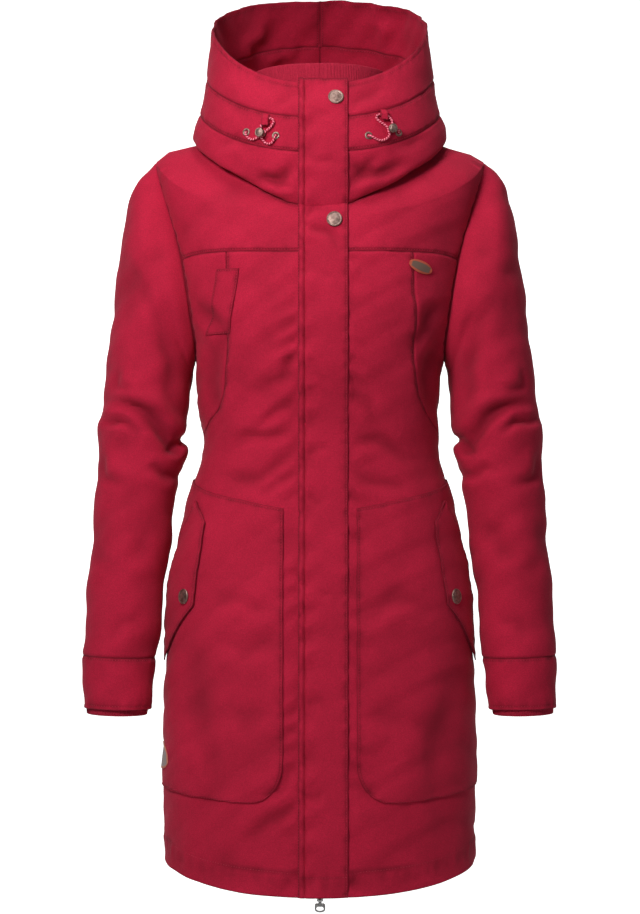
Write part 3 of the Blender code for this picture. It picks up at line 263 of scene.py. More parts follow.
def ring(theta, sizes):
    """x is half the width times sine to the power 0.86, y the same of the cosine, z the height plus
    the front or back drop times a power of the cosine."""
    across, along = np.sin(np.radians(theta)), np.cos(np.radians(theta))
    x = sizes["half_width"] * np.sign(across) * np.abs(across) ** ROUNDNESS
    y = np.where(along > 0, -sizes["front"], sizes["back"]) * np.abs(along) ** ROUNDNESS
    drop = np.where(along > 0, sizes["front_drop"] * np.abs(along) ** FRONT_DROP_POWER,
                    sizes["back_drop"] * np.abs(along) ** sizes.get("back_power", BACK_DROP_POWER))
    return np.stack(np.broadcast_arrays(x, y, sizes["height"] + drop), -1)


def body(theta, height):
    """The ring at each height of the body's table."""
    return ring(theta, read_table(BODY_COLUMNS, BODY_RINGS, height))


def hood(theta, level):
    """The ring at each level of the hood's table."""
    return ring(theta, read_table(HOOD_COLUMNS, HOOD_RINGS, level))


def collar(theta, level):
    """The ring at each level of the rib collar's table."""
    return ring(theta, read_table(COLLAR_COLUMNS, COLLAR_RINGS, level))


def armhole(phi):
    """Body angle and height: the height follows a cosine, the angle a sine with a small second wave."""
    angle = np.radians(phi)
    middle = (SHOULDER + ARMHOLE_FOOT) / 2
    forward = ARMHOLE_FRONT * np.sin(angle) - ARMHOLE_SCOOP * np.sin(2 * angle)
    return (90.0 - np.where(np.sin(angle) >= 0, forward, ARMHOLE_BACK * np.sin(angle)),
            middle + (SHOULDER - middle) * np.cos(angle))


def sleeve(phi, station):
    """Slanted ellipses, the first of them drawn to the armhole over one and a half stations."""
    angle = np.radians(phi)

    def ellipse(s):
        x = (s["outer_x"] + s["inner_x"]) / 2 + (s["outer_x"] - s["inner_x"]) / 2 * np.cos(angle)
        z = (s["outer_z"] + s["inner_z"]) / 2 + (s["outer_z"] - s["inner_z"]) / 2 * np.cos(angle)
        return np.stack(np.broadcast_arrays(x, s["centre_y"] - s["half_depth"] * np.sin(angle), z), -1)

    share = 1.0 - ramp(0.0, 1.6, station)
    first = ellipse(read_table(SLEEVE_COLUMNS, SLEEVE_RINGS, 0.0))
    ring = ellipse(read_table(SLEEVE_COLUMNS, SLEEVE_RINGS, station))
    return ring + share[..., None] * (body(*armhole(phi)) - first)


def normals(surface, u, v):
    """The unit cross product of short steps along the surface's two parameters: 0.4 degrees, and half a
    millimetre on the body or a fiftieth of a level elsewhere."""
    du, dv = 0.4, 0.5 if surface is body else 0.02
    cross = np.cross(surface(u + du, v) - surface(u - du, v), surface(u, v + dv) - surface(u, v - dv))
    return cross / np.linalg.norm(cross, axis=-1, keepdims=True)


def face_of(surface, u, v):
    """Points and normals of a surface at its two parameters."""
    return surface(u, v), normals(surface, u, v)


def angle_at(x, half_width):
    """The angle at which a ring of this half width passes x."""
    return np.degrees(np.sign(x) * np.arcsin((np.abs(x) / half_width) ** (1 / ROUNDNESS)))


def locate(surface, x, z, theta, level):
    """Newton's method for the parameters at which a surface passes through x and z."""
    x, z = np.broadcast_arrays(np.asarray(x, float), np.asarray(z, float))
    theta = np.broadcast_to(theta, x.shape).astype(float)
    level = np.broadcast_to(level, x.shape).astype(float)
    step = 0.01
    for _ in range(12):
        here = surface(theta, level)
        by_theta = (surface(theta + step, level) - here) / step
        by_level = (surface(theta, level + step) - here) / step
        miss_x, miss_z = x - here[..., 0], z - here[..., 2]
        det = by_theta[..., 0] * by_level[..., 2] - by_level[..., 0] * by_theta[..., 2]
        theta = theta + np.clip((miss_x * by_level[..., 2] - miss_z * by_level[..., 0]) / det, -8, 8)
        level = level + np.clip((by_theta[..., 0] * miss_z - by_theta[..., 2] * miss_x) / det, -60, 60)
    return theta, level


def on_body(x, z):
    """Points and normals of the body's front at x and z."""
    return face_of(body, *locate(body, x, z, np.degrees(np.arcsin(np.clip(np.asarray(x) / 175.0, -0.9, 0.9))), z))


def on_hood(x, z):
    """Points and normals of the hood's front at x and z."""
    guess = np.clip(5.0 + (np.asarray(z, float) + 12.0) / 45.0, 0.5, 6.9)
    return face_of(hood, *locate(hood, x, z, np.degrees(np.arcsin(np.asarray(x) / 140.0)), guess))


def at_one(place, x, z):
    """The one point and normal of a front at x and z."""
    return [found[0] for found in place(np.array([x]), np.array([z]))]


def spacing(length, step, first=True, last=True):
    """Shares of a length: close together within 8 mm of an edge, and at even steps between. On a length
    under 24 mm, the close steps shrink to a third of it."""
    steps = EDGE_STEPS * min(1.0, length / (3.0 * EDGE_STEPS[-1]))
    low = steps if first else np.array([0.0])
    high = length - steps[::-1] if last else np.array([length])
    count = max(2, int(math.ceil((high[0] - low[-1]) / step)))
    return np.concatenate([low[:-1], np.linspace(low[-1], high[0], count + 1), high[1:]]) / length


# ---------------------------------------------------------------- folds

def waves(point, size, phase=0.0):
    """A slow unevenness from -1 to 1: three crossed sines of different lengths along x, y and z."""
    x, y, z = (point[..., i] / size for i in range(3))
    return (np.sin(1.00 * x + 1.7 * np.sin(0.61 * z + phase) + phase) * np.cos(0.83 * z + 0.6 * y + 1.3 * phase)
            + 0.6 * np.sin(1.9 * z - 1.3 * x + 0.8 * y + 2.1 * phase)) / 1.6


def creases(point, table):
    """For each stroke of the table a bell-shaped trough with a lower ridge below it. Both fade at the
    stroke's ends, and slow waves shake its line."""
    x, y, z = point[..., 0], point[..., 1], point[..., 2]
    total = np.zeros(x.shape)
    for row in table:
        c = dict(zip(CREASE_COLUMNS, row))
        dx, dz = c["x1"] - c["x0"], c["z1"] - c["z0"]
        length = math.hypot(dx, dz)
        t = ((x - c["x0"]) * dx + (z - c["z0"]) * dz) / length ** 2
        off = (dx * (z - c["z0"]) - dz * (x - c["x0"])) / length - c["sag"] * 4 * t * (1 - t)
        off = off + 0.35 * c["width"] * np.sin(9.0 * t + 0.07 * c["z0"])
        fade = ramp(-0.12, 0.3, t) * ramp(-0.12, 0.45, 1 - t)
        facing = ramp(-25.0, 25.0, c["side"] * y) if c["side"] else 1.0
        bell = np.exp(-(off / c["width"]) ** 2) - 0.5 * np.exp(-((off + 1.9 * c["width"]) / (1.3 * c["width"])) ** 2)
        total -= c["depth"] * bell * fade * facing
    return total


def from_seams(point):
    """0 on the armholes and the neck and 1 away from them: 1 less a bell of the distance to points on
    those seams."""
    phi, theta = np.linspace(0.0, 360.0, 161), np.linspace(0.0, 180.0, 91)
    seam = np.concatenate([body(*armhole(phi)), body(theta, np.full(91, NECK))])
    at = point.reshape(-1, 3).copy()
    at[:, 0] = np.abs(at[:, 0])
    squares = (at ** 2).sum(1)[:, None] + (seam ** 2).sum(1) - 2 * at @ seam.T
    return 1.0 - np.exp(-squares.min(1) / 12.0 ** 2).reshape(point.shape[:-1])


def body_folds(point):
    """Creases, unevenness and drag lines that run out from both sides of the placket. Under the placket
    the front lies nearly flat."""
    x, y, z = point[..., 0], point[..., 1], point[..., 2]
    out = np.maximum(np.maximum(x - PLACKET_FREE_X, PLACKET_SEWN_X - x), 0.0)
    slant = z + 0.55 * out
    drag = (np.sin(slant / 3.9 + 1.6 * np.sin(z / 37.0)) * (0.55 + 0.45 * np.sin(z / 23.0 + np.sign(x)))
            + 0.6 * np.sin(slant / 9.0 + 2.0 * np.sin(z / 61.0)))
    drag = 2.3 * drag * np.exp(-(out / 19.0) ** 2) * (y < 0) * ramp(-60.0, -150.0, z)
    free = 1.0 - 0.85 * (1.0 - ramp(0.0, 7.0, out)) * (y < 0)
    return from_seams(point) * free * (creases(point, BODY_CREASES) + 2.0 * waves(point, 34.0)
                                       + 1.2 * waves(point, 13.0, 1.0) + 0.45 * waves(point, 6.5, 2.3) + drag)


def hood_folds(point):
    """Creases and unevenness of the hood, stronger at its back and inside the opening."""
    rear = ramp(-30.0, 90.0, point[..., 1])
    return from_seams(point) * (creases(point, HOOD_CREASES) + (0.8 + 2.0 * rear) * waves(point, 21.0, 0.7)
                                + (0.5 + 1.4 * rear) * waves(point, 9.0, 2.0))


def sleeve_folds(point):
    """Creases of the elbow and unevenness, the same on both sleeves but for the slow waves."""
    mirrored = np.concatenate([np.abs(point[..., :1]), point[..., 1:]], -1)
    return from_seams(point) * (creases(mirrored, SLEEVE_CREASES) + 1.8 * waves(point, 27.0, 0.4)
                                + 1.1 * waves(point, 11.0, 1.9))


# ---------------------------------------------------------------- meshes

def make_object(name, points, faces, uvs, material, caps=()):
    """A smooth-shaded object at the origin from points in mm, quads and one UV (in metres) per corner,
    and caps of any number of corners. Where the volume by the divergence sum is negative, all faces
    are turned round."""
    tri = points[faces]
    volume = np.einsum("ij,ij->i", tri[:, 0], np.cross(tri[:, 1], tri[:, 2])).sum()
    volume += np.einsum("ij,ij->i", tri[:, 0], np.cross(tri[:, 2], tri[:, 3])).sum()
    if volume < 0:
        faces, uvs, caps = faces[:, ::-1], uvs[:, ::-1], [cap[::-1] for cap in caps]
    corner = np.concatenate([faces.ravel(), *caps])
    sizes = np.array([4] * len(faces) + [len(cap) for cap in caps])
    mesh = bpy.data.meshes.new(name)
    mesh.vertices.add(len(points))
    mesh.vertices.foreach_set("co", (points * MM).astype(np.float32).ravel())
    mesh.loops.add(len(corner))
    mesh.loops.foreach_set("vertex_index", corner.astype(np.int32))
    mesh.polygons.add(len(sizes))
    mesh.polygons.foreach_set("loop_start", (np.cumsum(sizes) - sizes).astype(np.int32))
    mesh.update(calc_edges=True)
    layer = mesh.uv_layers.new(name="cloth")
    marks = np.zeros((len(corner), 2), np.float32)
    marks[:faces.size] = uvs.reshape(-1, 2)
    layer.data.foreach_set("uv", marks.ravel())
    mesh.validate()
    mesh.shade_smooth()
    mesh.set_sharp_from_angle(angle=math.radians(55))
    mesh.materials.append(material)
    piece = bpy.data.objects.new(name, mesh)
    bpy.context.scene.collection.objects.link(piece)
    return piece


def assign(piece, nodes=(), rides="garment"):
    """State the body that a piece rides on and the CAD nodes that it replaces."""
    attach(piece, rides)
    if nodes:
        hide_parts(*nodes)


def mark(piece, name, values):
    """Give each point a number from 0 to 1 that the piece's material reads."""
    layer = piece.data.attributes.new(name, "FLOAT", "POINT")
    layer.data.foreach_set("value", values.astype(np.float32).ravel())


def run_along(points, axis, wrap=False):
    """Summed lengths from the first row or column of a grid, or from a line's start, in mm."""
    if wrap:
        points = np.concatenate([points, points[:, :1]], 1)
    step = np.linalg.norm(np.diff(points, axis=axis), axis=-1)
    zero = np.zeros_like(np.take(step, [0], axis=axis))
    return np.concatenate([zero, np.cumsum(step, axis=axis)], axis=axis)


def closed_wall(name, outer, inner, material, wrap=False):
    """Two grids of points joined along their edges into one closed wall."""
    rows, columns = outer.shape[:2]
    count = rows * columns
    index = np.arange(count).reshape(rows, columns)
    if wrap:
        index = np.concatenate([index, index[:, :1]], 1)
    along, across = run_along(outer, 0), run_along(outer, 1, wrap)
    if wrap:
        along = np.concatenate([along, along[:, :1]], 1)
    uv = np.stack([across, along], -1) * MM

    def quads(a, b, c, d):
        return np.stack([a.ravel(), b.ravel(), c.ravel(), d.ravel()], -1)

    def corners(a, b, c, d):
        return np.stack([a.reshape(-1, 2), b.reshape(-1, 2), c.reshape(-1, 2), d.reshape(-1, 2)], 1)

    cells = (index[:-1, :-1], index[:-1, 1:], index[1:, 1:], index[1:, :-1])
    marks = (uv[:-1, :-1], uv[:-1, 1:], uv[1:, 1:], uv[1:, :-1])
    faces = [quads(*cells), quads(*cells[::-1]) + count]
    uvs = [corners(*marks), corners(*marks[::-1])]
    ends = ((np.s_[0, :], 1), (np.s_[-1, :], -1))
    for edge, sign in ends if wrap else ends + ((np.s_[:, 0], -1), (np.s_[:, -1], 1)):
        a, b = index[edge][:-1], index[edge][1:]
        ua, ub = uv[edge][:-1], uv[edge][1:]
        if sign > 0:
            a, b, ua, ub = b, a, ub, ua
        faces.append(quads(a, b, b + count, a + count))
        uvs.append(corners(ua, ub, ub, ua))
    points = np.concatenate([outer.reshape(-1, 3), inner.reshape(-1, 3)])
    return make_object(name, points, np.concatenate(faces), np.concatenate(uvs), material)


def edge_relief(grid, edges, wrap):
    """Sinking towards each named edge, in mm, the loss of thickness there, and painted shade from 0 to 1
    in the seams, along the stitch lines and in the troughs of the puckers. A seam is a narrow valley, a
    free edge a quarter round, and both have a shallow groove and puckers at the stitches."""
    along, across = run_along(grid, 0), run_along(grid, 1, wrap)
    if wrap:
        across = across[:, :-1]
    far = {"left": across, "right": across[:, -1:] - across, "first": along, "last": along[-1:] - along}
    beside = {"left": along, "right": along, "first": across, "last": across}
    sink = np.zeros(grid.shape[:2])
    thin = np.zeros(grid.shape[:2])
    dark = np.zeros(grid.shape[:2])
    for edge, (kind, stitch) in edges.items():
        d, s = far[edge], beside[edge]
        # Painted shade: a thin dark line along every edge.
        dark = np.maximum(dark, np.exp(-(d / (1.1 if kind == "seam" else 0.9)) ** 2))
        if kind == "seam":
            valley = np.exp(-(d / 2.1) ** 2)
            sink += 1.3 * valley
            thin += 0.8 * valley
        elif kind == "free":
            round_off = 1.0 - np.sqrt(np.clip(1.0 - (1.0 - np.clip(d / 1.3, 0.0, 1.0)) ** 2, 0.0, 1.0))
            sink += 0.95 * round_off
            thin += 0.95 * round_off
        if stitch:
            sink += 0.4 * np.exp(-((d - stitch) / 0.9) ** 2)
            pucker = np.sin(s / 2.4 + 1.4 * np.sin(s / 17.0)) + 0.8 * np.sin(s / 5.1 + 2.0 * np.sin(s / 41.0))
            near = np.exp(-((d - 0.7 * stitch) / (min(stitch, 6.0) + 2.6)) ** 2)
            sink += 0.42 * pucker * near
            # Painted shade in the stitch holes and in the troughs of the puckers.
            dark = np.maximum(dark, 0.55 * np.exp(-((d - stitch) / 0.8) ** 2) + 0.12 * (1.8 + pucker) * near)
    return sink, thin, np.clip(dark, 0.0, 1.0)


def line_in(points, out, edge, distance, wrap=False):
    """The line of points and normals on a grid that keeps a distance from one of its edges."""
    if edge in ("right", "last"):
        points, out = (points[:, ::-1], out[:, ::-1]) if edge == "right" else (points[::-1], out[::-1])
    if edge in ("first", "last"):
        points, out = points.transpose(1, 0, 2), out.transpose(1, 0, 2)
    run = run_along(points, 1)
    k = np.clip((run < distance).sum(1) - 1, 0, run.shape[1] - 2)
    rows = np.arange(len(run))
    t = ((distance - run[rows, k]) / (run[rows, k + 1] - run[rows, k]))[:, None]
    line = points[rows, k] * (1 - t) + points[rows, k + 1] * t
    if wrap:
        line = np.concatenate([line, line[:1]])
        out = np.concatenate([out, out[:1]])
    return line, out[np.arange(len(out)), 0]


def stitches(name, lines):
    """A row of thread grains along each line, each a flattened octahedron of 2.5 by 0.75 by 0.6 mm whose
    ends dip into the cloth. The lines come as pairs of points and normals."""
    pitch = bpy.context.scene.parka_cloth.stitch_pitch / MM
    starts, ends, outs = [], [], []
    for line, out in lines:
        run = run_along(line, 0)
        at = np.arange(0.6 * pitch, run[-1] - 0.9 * pitch, pitch)
        pick = [np.stack([np.interp(at + d, run, line[:, i]) for i in range(3)], -1) for d in (0.0, 0.74 * pitch)]
        starts.append(pick[0])
        ends.append(pick[1])
        outs.append(np.stack([np.interp(at, run, out[:, i]) for i in range(3)], -1))
    start, end, out = (np.concatenate(part) for part in (starts, ends, outs))
    along = (end - start) / np.linalg.norm(end - start, axis=-1, keepdims=True)
    side = np.cross(along, out)
    middle = (start + end) / 2
    points = np.stack([start - 0.25 * out, middle + 0.38 * side, middle + 0.42 * out, middle - 0.38 * side,
                       middle - 0.3 * out, end - 0.25 * out], 1)
    corners = np.array([(0, 1, 5, 2), (0, 2, 5, 3), (0, 3, 5, 4), (0, 4, 5, 1)])
    faces = (np.arange(len(start))[:, None, None] * 6 + corners).reshape(-1, 4)
    shade = np.repeat(start[:, None, ::2] * MM, 16, 1).reshape(-1, 4, 2)
    piece = make_object(name, points.reshape(-1, 3), faces, shade, thread())
    assign(piece)


def sheet_of(base, wrap):
    """The width, length and area of the surface that a cloth piece is cut from, worked out and left unused."""
    across, along = run_along(base, 1, wrap)[:, -1].max() * MM, run_along(base, 0)[-1].max() * MM
    ring_of = np.concatenate([base, base[:, :1]], 1) if wrap else base
    diagonals = np.cross(ring_of[1:, 1:] - ring_of[:-1, :-1], ring_of[1:, :-1] - ring_of[:-1, 1:])
    area = np.linalg.norm(diagonals, axis=-1).sum() / 2 * MM * MM
    area = float(np.clip(area, 0.305 * across * along, 0.995 * across * along))


def cloth_piece(name, base, out, node, folds, material=None, slot="canvas", cloth=2.5, lift=0.0, edges=None,
                wrap=False, held="hung", rest=(), inside=False, under=None):
    """A closed cloth wall over a grid, of canvas unless a material is given. Its height is a lift plus
    folds less the sinking towards its edges. Its first edge is tucked in below a neighbour whose normals
    are given. Its stitch lines, and those of its inside if asked, are returned. With held None it is
    small trim, whose sheet sizes aren't worked out."""
    edges = edges or {}
    sink, thin, dark = edge_relief(base, edges, wrap)
    sink, thin = sink * min(1.0, cloth / 2.5), thin * min(1.0, cloth / 2.5)
    height = folds(base)
    form = base + out * (lift + height)[..., None]
    outer = form - out * sink[..., None]
    inner = form - out * (cloth - thin)[..., None]
    if under is not None:
        outer[0], inner[0] = base[0] - TUCK_OUTER * under, base[0] - TUCK_INNER * under
    piece = closed_wall(name, outer, inner, material or canvas(), wrap)
    # Painted shade: fold troughs darken with their depth, on top of the edges' painted shade on the outer face; the
    # inner face has only the edges' painted shade.
    deep = np.clip(-height / 11.0, 0.0, 0.6)
    mark(piece, "painted_shade", np.concatenate([np.clip(dark + deep, 0, 1).ravel(), dark.ravel()]))
    assign(piece, [node])
    if held:
        sheet_of(base, wrap)
    faces = [(outer, out)] + ([(inner, -out)] if inside else [])
    return [line_in(*face, edge, stitch, wrap) for face in faces for edge, (_, stitch) in edges.items() if stitch]


def lean(out, target, distance, reach):
    """Normals turned to a target's near an edge: the share falls with the squared distance, and is nil
    where the two point apart."""
    share = np.exp(-(distance / reach) ** 2)[..., None] * ramp(-0.3, 0.5, np.sum(out * target, -1, keepdims=True))
    mixed = out * (1 - share) + target * share
    return mixed / np.linalg.norm(mixed, axis=-1, keepdims=True)


def even(surface, theta, low, high, step, first=True, last=True):
    """Levels at nearly even lengths along a surface's line at one angle."""
    dense = np.linspace(low, high, 500)
    run = run_along(surface(theta, dense)[:, None], 0)[:, 0]
    return np.interp(spacing(run[-1], step, first, last) * run[-1], run, dense)


def fan(left, right, share):
    """Rows of angles from each left to each right at the given shares."""
    left, right = np.broadcast_arrays(np.asarray(left, float), np.asarray(right, float))
    return left[:, None] * (1 - share) + right[:, None] * share


def mirror(side):
    """Multiplies x by 1 for the wearer's left and by -1 for the right."""
    return np.array([side, 1.0, 1.0])


SIDES = ((1.0, "l"), (-1.0, "r"))


# ---------------------------------------------------------------- materials

def linear(hex_color):
    """The linear red, green and blue of an sRGB colour such as #B51E3D."""
    share = np.array([int(hex_color[i:i + 2], 16) for i in (1, 3, 5)]) / 255.0
    return tuple(float(v) for v in np.where(share <= 0.04045, share / 12.92, ((share + 0.055) / 1.055) ** 2.4))


def add_node(tree, kind, settings=None, links=None):
    """A node of the kind, with values for its properties or sockets, and links from other sockets."""
    node = tree.nodes.new("ShaderNode" + kind)
    for name, value in (settings or {}).items():
        if isinstance(name, str) and hasattr(node, name):
            setattr(node, name, value)
        else:
            node.inputs[name].default_value = value
    for name, source in (links or {}).items():
        tree.links.new(source, node.inputs[name])
    return node


def new_material(name, **sockets):
    """A material with a principled shader whose sockets have the given constant values. Its tree, shader
    and texture coordinates follow, or None for each where the material exists already."""
    material = bpy.data.materials.get(name)
    if material is not None:
        return material, None, None, None
    material = bpy.data.materials.new(name)
    material.use_nodes = True
    tree = material.node_tree
    shader = tree.nodes["Principled BSDF"]
    for socket, value in sockets.items():
        shader.inputs[socket.replace("_", " ").title().replace("Ior", "IOR")].default_value = value
    return material, tree, shader, add_node(tree, "TexCoord").outputs


def connect(tree, shader, color, normal):
    """Give the shader its colour and its normal."""
    tree.links.new(color, shader.inputs["Base Color"])
    tree.links.new(normal, shader.inputs["Normal"])


def carried(tree, name):
    """A number that the mesh carries at each point."""
    return add_node(tree, "Attribute", {"attribute_name": name}).outputs["Fac"]


def bands(tree, vector, direction, scale, distortion=0.0, detail=2.0):
    """Waves from 0 to 1 along a direction."""
    return add_node(tree, "TexWave", {"wave_type": "BANDS", "bands_direction": direction, "Scale": scale,
                                      "Distortion": distortion, "Detail": detail}, {"Vector": vector}).outputs["Fac"]


def math_of(tree, operation, first, second):
    """A sum, difference or product of two numbers."""
    return add_node(tree, "Math", {"operation": operation}, {0: first, 1: second}).outputs[0]


def spots(tree, vector, scale, detail=3.0, rough=0.55):
    """Fractal noise from 0 to 1 at a scale per metre."""
    return add_node(tree, "TexNoise", {"Scale": scale, "Detail": detail, "Roughness": rough},
                    {"Vector": vector}).outputs["Fac"]


def blend_colors(tree, factor, low, high, start=0.35, end=0.65):
    """A ramp of two colours over a factor."""
    node = add_node(tree, "ValToRGB", links={"Fac": factor})
    for element, place, color in zip(node.color_ramp.elements, (start, end), (low, high)):
        element.position = place
        element.color = (*color, 1.0)
    return node.outputs["Color"]


def bump(tree, height, distance, strength=1.0, normal=None):
    """A bump node of a height in metres."""
    links = {"Height": height}
    if normal is not None:
        links["Normal"] = normal
    return add_node(tree, "Bump", {"Distance": distance, "Strength": strength}, links).outputs["Normal"]


def weave_height(tree, uv, pitch):
    """Plain weave from 0 to 1: warp and weft waves along u and v whose crests take turns, which is the
    product of the two sines, taken from their sum."""
    warp, weft = (bands(tree, uv, direction, 0.314 / pitch, 0.6, 1.0) for direction in "XY")
    both = math_of(tree, "MULTIPLY", warp, weft)
    return math_of(tree, "SUBTRACT", math_of(tree, "ADD", warp, weft), both)


def canvas():
    """Matte cotton canvas: a plain weave with slubs, and painted shade in the seams, stitch lines and fold
    troughs, which the mesh carries as an attribute."""
    sizes = bpy.context.scene.parka_cloth
    material, tree, shader, place = new_material(
        "cotton canvas", roughness=0.88, sheen_weight=0.1, sheen_roughness=0.45,
        sheen_tint=(*linear("#FF8FA3"), 1.0), specular_ior_level=0.22)
    if tree is None:
        return material
    weave = weave_height(tree, place["UV"], sizes.weave_pitch)
    slub = spots(tree, place["Object"], 900.0, 2.0)
    blotch = spots(tree, place["Object"], 21.0, 4.0)
    color = blend_colors(tree, blotch, tuple(sizes.canvas_shade), tuple(sizes.canvas_color), 0.3, 0.62)
    # First the painted shade, which brings the colour down to about 0.4 where the mesh marks it fully; then slubs and
    # the weave's tone.
    for factor, low, high, start, end in (
            (carried(tree, "painted_shade"), (1.0, 1.0, 1.0), (0.42, 0.36, 0.4), 0.0, 1.0),
            (slub, (0.80, 0.80, 0.80), (1.12, 1.12, 1.12), 0.36, 0.66),
            (weave, (0.84, 0.84, 0.84), (1.05, 1.05, 1.05), 0.1, 0.8)):
        tone = blend_colors(tree, factor, low, high, start, end)
        color = add_node(tree, "MixRGB", {"blend_type": "MULTIPLY", "Fac": 1.0},
                         {"Color1": color, "Color2": tone}).outputs["Color"]
    soft = bump(tree, spots(tree, place["Object"], 150.0, 4.0), 0.0012, 0.5)
    connect(tree, shader, color, bump(tree, weave, 0.00018, 0.7, soft))
    return material


def knit():
    """Cotton rib knit: the ribs are in the mesh, and small stitches run across them."""
    material, tree, shader, place = new_material(
        "cotton rib knit", roughness=0.92, sheen_weight=0.08, sheen_roughness=0.5,
        sheen_tint=(*linear("#FF8090"), 1.0), specular_ior_level=0.2)
    if tree is None:
        return material
    loops = bands(tree, place["UV"], "Y", 220.0, 1.5, 1.0)
    fuzz = spots(tree, place["Object"], 700.0, 3.0)
    color = blend_colors(tree, fuzz, linear("#8E132C"), linear("#B01F3A"), 0.3, 0.7)
    connect(tree, shader, color, bump(tree, loops, 0.0003, 0.6, bump(tree, fuzz, 0.0004, 0.5)))
    return material


def thread():
    """Polyester sewing thread, a tone lighter than the canvas."""
    material, tree, shader, place = new_material("sewing thread", roughness=0.6, specular_ior_level=0.35)
    if tree is not None:
        color = blend_colors(tree, spots(tree, place["Object"], 400.0), linear("#A0152F"), linear("#B82A44"))
        tree.links.new(color, shader.inputs["Base Color"])
    return material


def tape():
    """Woven polyester zip tape with a fine twill."""
    material, tree, shader, place = new_material("woven zip tape", roughness=0.7, specular_ior_level=0.3)
    if tree is not None:
        twill = bands(tree, place["Object"], "DIAGONAL", 260.0)
        color = blend_colors(tree, twill, linear("#8E1630"), linear("#A81C3A"))
        connect(tree, shader, color, bump(tree, twill, 0.0002, 0.6))
    return material


def braid():
    """Two-ply polyester cord, bright pink beside dark red, coloured by the ply that the mesh carries."""
    sizes = bpy.context.scene.parka_trims
    material, tree, shader, place = new_material("two-tone braided cord", roughness=0.62, specular_ior_level=0.35)
    if tree is not None:
        color = blend_colors(tree, carried(tree, "ply"), tuple(sizes.cord_dark), tuple(sizes.cord_bright), 0.42, 0.58)
        connect(tree, shader, color, bump(tree, spots(tree, place["Object"], 1400.0, 2.0), 0.0003, 0.6))
    return material


def antique_metal():
    """Antique nickel on brass: dark and rubbed bright in patches that a noise sets."""
    sizes = bpy.context.scene.parka_trims
    material, tree, shader, place = new_material("antique nickel", metallic=0.9, roughness=0.5)
    if tree is not None:
        wear = spots(tree, place["Object"], 260.0, 4.0)
        color = blend_colors(tree, wear, tuple(sizes.metal_dark), tuple(sizes.metal_rubbed), 0.32, 0.7)
        rough = add_node(tree, "MapRange", {"To Min": 0.42, "To Max": 0.62}, {"Value": wear}).outputs["Result"]
        tree.links.new(rough, shader.inputs["Roughness"])
        connect(tree, shader, color, bump(tree, spots(tree, place["Object"], 900.0), 0.00015, 0.4))
    return material


def zinc():
    """Tumbled zinc of the zip's slider and pull."""
    material, tree, shader, place = new_material("tumbled zinc", metallic=1.0, roughness=0.34)
    if tree is not None:
        scuff = spots(tree, place["Object"], 600.0, 4.0)
        color = blend_colors(tree, scuff, linear("#8C8B8A"), linear("#D2D1D0"))
        connect(tree, shader, color, bump(tree, scuff, 0.00012, 0.5))
    return material


def leather():
    """Vegetable-tanned leather with a fine pebble grain, redder towards the rim of the patch."""
    material, tree, shader, place = new_material("tanned leather", roughness=0.62, specular_ior_level=0.35)
    if tree is not None:
        grain = add_node(tree, "TexVoronoi", {"Scale": 1100.0}, {"Vector": place["Object"]}).outputs["Distance"]
        color = blend_colors(tree, carried(tree, "rim"), linear("#6E574C"), linear("#B8523C"), 0.2, 0.4)
        connect(tree, shader, color, bump(tree, grain, 0.00025, 0.6))
    return material


def woven_label():
    """Damask label: fine taupe ribs inside a tan edge."""
    material, tree, shader, place = new_material("woven label", roughness=0.7, specular_ior_level=0.3)
    if tree is not None:
        ribs = bands(tree, place["Object"], "Z", 320.0)
        color = blend_colors(tree, carried(tree, "rim"), linear("#A39490"), linear("#CC7F6A"), 0.5, 0.62)
        connect(tree, shader, color, bump(tree, ribs, 0.00015, 0.6))
    return material


# ---------------------------------------------------------------- the shell

ARM_MIDDLE = (SHOULDER + ARMHOLE_FOOT) / 2


def zip_edge(height):
    """Body angle of the fronts' edges beside the zip."""
    return angle_at(ZIP_GAP, read_table(BODY_COLUMNS, BODY_RINGS, height)["half_width"])


def bust_seam(height):
    """Body angle of the bust seam, in straight stretches between the table's rows."""
    table = np.array(BUST_SEAM)
    return np.interp(height, table[:, 0], table[:, 1])


def armhole_edge(height, back=False):
    """Body angle of the armhole's front or back edge: the arc cosine of the height gives phi."""
    phi = np.degrees(np.arccos(np.clip((height - ARM_MIDDLE) / (SHOULDER - ARM_MIDDLE), -1.0, 1.0)))
    return armhole(360.0 - phi if back else phi)[0]


def arm_rows(start, end, step=3.4):
    """Heights at even angles along the armhole."""
    count = int(math.radians(abs(end - start)) * (SHOULDER - ARM_MIDDLE) / step)
    return ARM_MIDDLE + (SHOULDER - ARM_MIDDLE) * np.cos(np.radians(np.linspace(start, end, count)))


def yoke_seam(theta):
    """Height of the yoke seam: it falls with the cube of the angle from the centre to the armhole."""
    return YOKE_CENTRE + (ARM_MIDDLE - YOKE_CENTRE) * (np.minimum(theta, 66.0) / 65.0) ** 3


def under_yoke(theta, height):
    """Rows between -190 and the armhole's middle, stretched up to the yoke seam."""
    share = np.clip((height + 190.0) / (ARM_MIDDLE + 190.0), 0.0, 1.0)
    return np.where(share > 0, -190.0 + share * (yoke_seam(theta) + 190.0), height)


def body_grid(rows, share, left, right, to_level):
    """Points and normals of a body panel, with its columns at the shares between two edges."""
    theta = fan(left, right, share)
    return face_of(body, theta, to_level(theta, np.broadcast_to(rows[:, None], theta.shape)))


